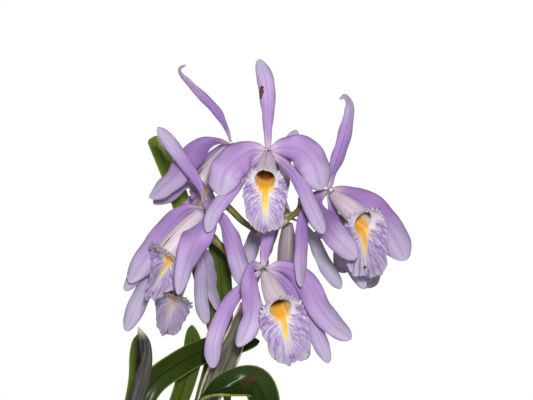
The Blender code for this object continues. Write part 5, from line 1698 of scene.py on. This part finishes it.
# %% [markdown]
# Pseudobulbs and their sheaths
#
# A pseudobulb is a swollen stem that stores water, spindle-shaped and furrowed as it ages, with a
# ring where each old leaf base was. Dry sheaths of those leaf bases still wrap its lower part:
# thin, fibrous and torn at the top. A sheath could be a sheet with its edge cut to a ragged line.
# Here the whole tube is drawn down more at some angles than at others, so its fibres stay whole.

# %% Pseudobulbs and their sheaths
BULB_RIBS = 10
BULB_RIB_DEPTH = 0.1
BULB_RIB_WANDER = 0.4
BULB_RINGS = (0.3, 0.62)
BULB_RING_HEIGHT = 0.35
BULB_RING_WIDTH = 0.012
SHEATH_SHARES = (0.05, 0.48)
SHEATH_THICKNESS = 0.5
SHEATH_ROOM = 0.9
SHEATH_TORN = 0.45       # how far down a tear reaches, as a share of the sheath's height
SHEATH_BUCKLE = 0.35
SHEATH_RIB = 0.15
SHEATH_RIBS = 30


def bulb_radius(bulb, share):
    rings = sum(bell(share - at, BULB_RING_WIDTH) for at in BULB_RINGS)
    return bulb.radius * spline(BULB_SWELL, share) + BULB_RING_HEIGHT * rings


def make_bulb(number, bulb):
    def reach_at(share, angle):
        wander = BULB_RIB_WANDER * math.sin(5 * share + number)
        furrow = abs(math.cos(BULB_RIBS / 2 * angle + wander))
        sunk = BULB_RIB_DEPTH * (1 - furrow) ** 2 * math.sin(math.pi * share)
        return ring(bulb_radius(bulb, share) * (1 - sunk), angle)
    bm = new_mesh()
    add_tube(bm, bulb_route(bulb), even_shares(80), 60, reach_at)
    close_ends(bm)
    finish_piece(f"pseudobulb_{number}_grown", bm, (BULB_SKIN,), [f"pseudobulb_{number}"])


def make_bulb_sheath(number, bulb):
    low, high = SHEATH_SHARES
    shares = even_shares(40)
    frames = tube_frames(bulb_route(bulb), [low + (high - low) * share for share in shares])

    def place(row, side):
        angle = side * math.pi
        torn = max(0, rough(angle * 2.2, number) + 0.6 * rough(angle * 8, number + 3))
        share = shares[row] * (1 - SHEATH_TORN * torn)
        at = share * (len(frames) - 1)
        lower, upper = frames[int(at)], frames[min(int(at) + 1, len(frames) - 1)]
        point, across, front = (a.lerp(b, at - int(at)) for a, b in zip(lower, upper))
        radius = bulb_radius(bulb, low + (high - low) * share) + SHEATH_ROOM + share
        radius += SHEATH_BUCKLE * rough(angle * 3, share * 4, number)
        radius += SHEATH_RIB * math.sin(SHEATH_RIBS * angle)
        return point + (across * math.cos(angle) + front * math.sin(angle)) * radius
    bm = new_mesh()
    add_sheet(bm, shares, 90, place, seamless=True)
    finish_piece(f"bulb_sheath_{number}_grown", bm, (SHEATH_SKIN,),
                 [f"bulb_sheath_{number}"], SHEATH_THICKNESS)


for number, bulb in enumerate(BULBS, 1):
    make_bulb(number, bulb)
    make_bulb_sheath(number, bulb)
print("pseudobulb and sheath:", made_pieces[-2:])

# %% [markdown]
# The two spathes
#
# The flower buds grew inside a flat double sheath, the spathe, and pushed out of its top. This
# year's is dark olive, with pale margins and darker creases. An older one at the left has dried
# to a grey twist of fibres round nothing. Both could be two flat sheets each, joined at their
# margins, but a flattened tube has no seams to hide. The dry one is creased and its tip bends back.

# %% The two spathes
SPATHE_ROUTE = ((-7, -2, 286), (7, -2, 318), (22, -2, 352), (31, 0, 376))
SPATHE_HALF_WIDTHS = (5.0, 9.5, 10, 8, 6)
SPATHE_HALF_DEPTHS = (4.6, 5.2, 5, 4.8, 4.6)
SPATHE_BUCKLE = 0.3
SPATHE_RIB = 0.12
SPATHE_RIBS = 14
OLD_SPATHE_ROUTE = (
    (-62, -29, 244.6), (-61, -38, 276), (-54, -42, 308), (-47, -43, 335), (-47, -43, 350), (-54, -42, 361),
)
OLD_SPATHE_HALF_WIDTHS = (1.2, 4.5, 5.4, 6, 3.6, 0.8)
OLD_SPATHE_HALF_DEPTHS = (1.2, 2.4, 2.4, 2.4, 1.6, 0.8)
OLD_SPATHE_CREASE = 0.16     # creases and ribs are shares of its reach
OLD_SPATHE_RIB = 0.05
OLD_SPATHE_RIBS = 11


def make_spathe():
    def reach_at(share, angle):
        fold = SPATHE_BUCKLE * rough(angle * 2, share * 5) + SPATHE_RIB * math.sin(SPATHE_RIBS * angle)
        across = (spline(SPATHE_HALF_WIDTHS, share) + fold) * math.cos(angle)
        return across, (spline(SPATHE_HALF_DEPTHS, share) + fold) * math.sin(angle)
    bm = new_mesh()
    add_tube(bm, SPATHE_ROUTE, even_shares(60), 72, reach_at)
    finish_piece("spathe_grown", bm, (SPATHE_SKIN,), ["spathe"], SHEATH_THICKNESS)


def make_old_spathe():
    def reach_at(share, angle):
        ribs = OLD_SPATHE_RIB * math.sin(OLD_SPATHE_RIBS * angle + 4 * share)
        creased = 1 + OLD_SPATHE_CREASE * rough(angle * 2.5, share * 7, 2) + ribs
        across = spline(OLD_SPATHE_HALF_WIDTHS, share) * creased * math.cos(angle)
        return across, spline(OLD_SPATHE_HALF_DEPTHS, share) * creased * math.sin(angle)
    bm = new_mesh()
    add_tube(bm, OLD_SPATHE_ROUTE, even_shares(90), 60, reach_at)
    close_ends(bm)
    finish_piece("old_spathe_dried", bm, (DRY_SKIN,), ["old_spathe"])


make_spathe()
make_old_spathe()
print("spathes:", made_pieces[-2:])

# %% [markdown]
# The rhizome and roots
#
# The rhizome creeps over the bark and joins the pseudobulbs; it is ringed by old scale scars.
# From it grow four thick roots in a silvery coat, green in places, and many thin ones, which run
# over the bark and dip into it. They could be joined by booleans, but where a root leaves the
# rhizome the bark and shadow hide the joint, so tubes that simply run into it are enough.

# %% The rhizome and roots
RHIZOME_ROUTE = ((-57, 2), (-22, -1), (13, 1), (49, -2))
RHIZOME_TAPER = (0.5, 0.95, 1, 1, 0.95, 0.5)
ROOT_RADIUS = 1.7
ROOT_ROUTES = (
    ((-24, 0, 105), (-31, -24, 106), (-31, -38, 100), (-31, -40, 86)),
    ((-6, 0, 105), (-3, 24, 107), (2, 38, 100), (3, 40, 86)),
    ((14, 0, 105), (19, -20, 107), (18, -38, 101), (18, -40, 86)),
    ((32, 0, 105), (40, 14, 107), (43, 25, 101), (43, 27, 86)),
)
ROOT_RADII = (ROOT_RADIUS, ROOT_RADIUS, ROOT_RADIUS * 0.95)
SCALE_SCARS = [0.06 + 0.055 * number for number in range(17)]
SCALE_SCAR_HEIGHT = 0.3
SCALE_SCAR_WIDTH = 0.008
THIN_ROOT_COUNT = 22
THIN_ROOT_RADII = (1.0, 0.9, 0.8)
THIN_ROOT_STARTS = (-50, 44)
THIN_ROOT_REACH = (12, 34)
THIN_ROOT_DRIFT = (-8, 8)
THIN_ROOT_LEVEL = 103
RHIZOME_SEED = 5


def thin_root_route(rng):
    """A root that leaves the rhizome to the front or the back and dips into the bark."""
    x = rng.uniform(*THIN_ROOT_STARTS)
    away = rng.choice((-1, 1))
    reach = rng.uniform(*THIN_ROOT_REACH)
    drift = rng.uniform(*THIN_ROOT_DRIFT)
    level = THIN_ROOT_LEVEL + rng.uniform(0, 2)
    return ((x, 0, THIN_ROOT_LEVEL + 1), (x + drift * 0.4, away * reach * 0.5, level + 2),
            (x + drift, away * reach, level), (x + drift * 1.3, away * (reach + 5), level - 9))


def make_rhizome():
    rng = random.Random(RHIZOME_SEED)
    bm = new_mesh("shade")

    def reach_at(share, angle):
        scars = sum(bell(share - at, SCALE_SCAR_WIDTH) for at in SCALE_SCARS)
        radius = RHIZOME_RADIUS * spline(RHIZOME_TAPER, share) * (1 + 0.05 * rough(angle, share * 12))
        return ring(radius + SCALE_SCAR_HEIGHT * scars, angle)
    route = [(*place, RHIZOME_LEVEL) for place in RHIZOME_ROUTE]
    add_tube(bm, route, even_shares(160), 28, reach_at)
    for route in ROOT_ROUTES:
        add_tube(bm, route, even_shares(40), 14, round_reach(ROOT_RADII))
    for _ in range(THIN_ROOT_COUNT):
        add_tube(bm, thin_root_route(rng), even_shares(24), 8, round_reach(THIN_ROOT_RADII))
    shade = bm.verts.layers.float["shade"]
    for vertex in bm.verts:
        vertex[shade] = max(0, rough(vertex.co.x / 9, vertex.co.y / 9, 7))
    close_ends(bm)
    finish_piece("rhizome_grown", bm, (ROOT_SKIN,), ["rhizome"])


make_rhizome()
print("rhizome with", len(ROOT_ROUTES) + THIN_ROOT_COUNT, "roots:", made_pieces[-1])

# %% [markdown]
# Bark
#
# Orchids like this one are potted in chips of pine bark, so that air reaches the roots. A rough
# bump map on a disc would look flat from the side. So the fill is a plain bed below, and on it
# lies a layer of loose chips of all sizes: each a small block with its corners pushed about, laid
# nearly flat. The random numbers start from a fixed seed, so every run makes the same bark.

# %% Bark
BARK_LEVEL = 100
BED_FOOT = 8.3
BED_RADII = (44.4, 59)
CHIP_COUNT = 260
CHIP_LENGTHS = (5, 15)
CHIP_WIDTHS = (0.45, 0.8)        # widths and heights are shares of the length
CHIP_HEIGHTS = (0.22, 0.4)
CHIP_PALENESS = (0, 0.7)
CHIP_LOWEST = BARK_LEVEL - 1.5
CHIP_PILE = 4.5
CHIP_TILT = 0.45
CHIP_PUSH = 0.28                 # how far a chip's points are pushed about, as a share
CHIP_ROUNDING = 0.25
CHIP_NOISE = 2.2
CHIP_INSET = 5
CHIP_SHARP = math.radians(40)    # faces that meet at more than this keep a sharp edge
BARK_SEED = 9


def add_chip(bm, rng):
    """One rough chip: a cut-up block with its points pushed about."""
    shade = bm.verts.layers.float["shade"]
    size = rng.uniform(*CHIP_LENGTHS)
    shape = (size, size * rng.uniform(*CHIP_WIDTHS), size * rng.uniform(*CHIP_HEIGHTS))
    known = len(bm.verts)
    corners = bmesh.ops.create_cube(bm, size=1)["verts"]
    edges = list({edge for corner in corners for edge in corner.link_edges})
    bmesh.ops.subdivide_edges(bm, edges=edges, cuts=3, use_grid_fill=True)
    bm.verts.ensure_lookup_table()
    seed = rng.uniform(0, 90)
    tone = rng.uniform(*CHIP_PALENESS)
    out = (BED_RADII[1] - CHIP_INSET - size / 3) * math.sqrt(rng.random())
    turn = rng.uniform(0, math.tau)
    level = CHIP_LOWEST + rng.uniform(0, CHIP_PILE)
    lay = Matrix.Translation((*ring(out, turn), level))
    lay @= Matrix.Rotation(rng.uniform(0, math.tau), 4, "Z")
    lay @= Matrix.Rotation(rng.uniform(-CHIP_TILT, CHIP_TILT), 4, "X")
    for point in bm.verts[known:]:
        point[shade] = tone
        push = Vector(rough(*(point.co * CHIP_NOISE + Vector((seed, axis, 0)))) for axis in (0, 20, 40))
        eased = point.co.normalized() * CHIP_ROUNDING + point.co * (1 - CHIP_ROUNDING)
        block = eased + push * CHIP_PUSH
        point.co = lay @ Vector(a * b for a, b in zip(block, shape))


def make_bark():
    rng = random.Random(BARK_SEED)
    bm = new_mesh("shade")
    add_tube(bm, ((0, 0, BED_FOOT), (0, 0, BARK_LEVEL)), even_shares(1), 72, round_reach(BED_RADII))
    close_ends(bm)
    for _ in range(CHIP_COUNT):
        add_chip(bm, rng)
    piece = finish_piece("bark_chips", bm, (BARK_SKIN,), ["bark"])
    piece.data.set_sharp_from_angle(angle=CHIP_SHARP)


make_bark()
print("bark:", made_pieces[-1])

# %% [markdown]
# The pot
#
# A plain thrown flower pot: a flared body, a thick rim, eased edges and three drain holes. It
# could be two cones, one inside the other, but a profile turned round the middle, as on a wheel,
# gets its rim and eased edges in one go. The holes are cut with cylinders, which are then removed.

# %% The pot
POT_HEIGHT = 112
POT_FOOT_RADIUS = 50
POT_BODY_RADIUS = 66
POT_RIM_RADIUS = 72
POT_RIM_HEIGHT = 26
POT_WALL = 5
POT_FLOOR = 8
POT_EDGE = 2
POT_TAPER = 1            # the rim is this much narrower below, and the mouth this much wider
POT_SHARP = math.radians(50)
DRAIN_COUNT = 3
DRAIN_RADIUS = 5
DRAIN_RING = 26
DRAIN_TURN = 0.25        # where the first hole is, as a share of the step between two


def rounded_corner(before, corner, after, radius, steps=4):
    """Points that ease a corner of a profile."""
    before, corner, after = (Vector(point) for point in (before, corner, after))
    start = corner + (before - corner).normalized() * radius
    end = corner + (after - corner).normalized() * radius
    return [start.lerp(corner, u).lerp(corner.lerp(end, u), u) for u in even_shares(steps)]


def cut_drain(pot, number):
    """Cuts one drain hole through the pot's floor."""
    drain = bmesh.new()
    radius = DRAIN_RADIUS * MM
    bmesh.ops.create_cone(drain, cap_ends=True, segments=32, radius1=radius, radius2=radius,
                          depth=POT_FLOOR * 3 * MM)
    middle = Vector((*ring(DRAIN_RING, math.tau * (number + DRAIN_TURN) / DRAIN_COUNT), 0)) * MM
    bmesh.ops.translate(drain, vec=middle, verts=drain.verts)
    mesh = bpy.data.meshes.new("Drain")
    drain.to_mesh(mesh)
    drain.free()
    cutter = bpy.data.objects.new("Drain", mesh)
    bpy.context.scene.collection.objects.link(cutter)
    cut = pot.modifiers.new("Drain hole", "BOOLEAN")
    cut.object = cutter
    cut.operation = "DIFFERENCE"
    bpy.context.view_layer.update()
    solid = pot.evaluated_get(bpy.context.evaluated_depsgraph_get())
    pot.data = bpy.data.meshes.new_from_object(solid)
    pot.modifiers.clear()
    bpy.data.objects.remove(cutter)


def make_pot():
    inner_top = POT_BODY_RADIUS - POT_WALL + POT_TAPER
    rim_foot = POT_HEIGHT - POT_RIM_HEIGHT
    corners = ((0, POT_FLOOR), (POT_FOOT_RADIUS - POT_WALL, POT_FLOOR), (inner_top, POT_HEIGHT),
               (POT_RIM_RADIUS, POT_HEIGHT), (POT_RIM_RADIUS - POT_TAPER, rim_foot - POT_EDGE / 2),
               (POT_BODY_RADIUS, rim_foot - POT_EDGE / 2), (POT_FOOT_RADIUS, 0), (0, 0))
    profile = [Vector(corners[0])]
    for before, corner, after in zip(corners, corners[1:], corners[2:]):
        profile += rounded_corner(before, corner, after, POT_EDGE)
    profile.append(Vector(corners[-1]))
    bm = new_mesh()
    spots = [bm.verts.new((point.x, 0, point.y)) for point in profile]
    edges = [bm.edges.new(pair) for pair in zip(spots, spots[1:])]
    bmesh.ops.spin(bm, geom=spots + edges, axis=(0, 0, 1), cent=(0, 0, 0), steps=96,
                   angle=math.tau, use_merge=True)
    bmesh.ops.remove_doubles(bm, verts=bm.verts, dist=WELD)
    bmesh.ops.recalc_face_normals(bm, faces=bm.faces)
    pot = finish_piece("clay_pot", bm, (CLAY_SKIN,), ["pot"])
    for number in range(DRAIN_COUNT):
        cut_drain(pot, number)
    pot.data.name = "clay_pot"
    pot.data.set_sharp_from_angle(angle=POT_SHARP)


make_pot()
print("pieces and faces:", len(made_pieces), sum(faces for _, faces in made_pieces))

# %% [markdown]
# The size of the dressed plant
#
# The dressed plant has to be as big as the imported one, so both boxes are written down side by
# side.

# %% The size of the dressed plant
dressed_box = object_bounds()
boxes = {"cad": [list(corner) for corner in cad_box], "visual": [list(corner) for corner in dressed_box]}
for label, (low, high) in boxes.items():
    print(label, *(round(value * 1000, 1) for value in (*low, *high)))
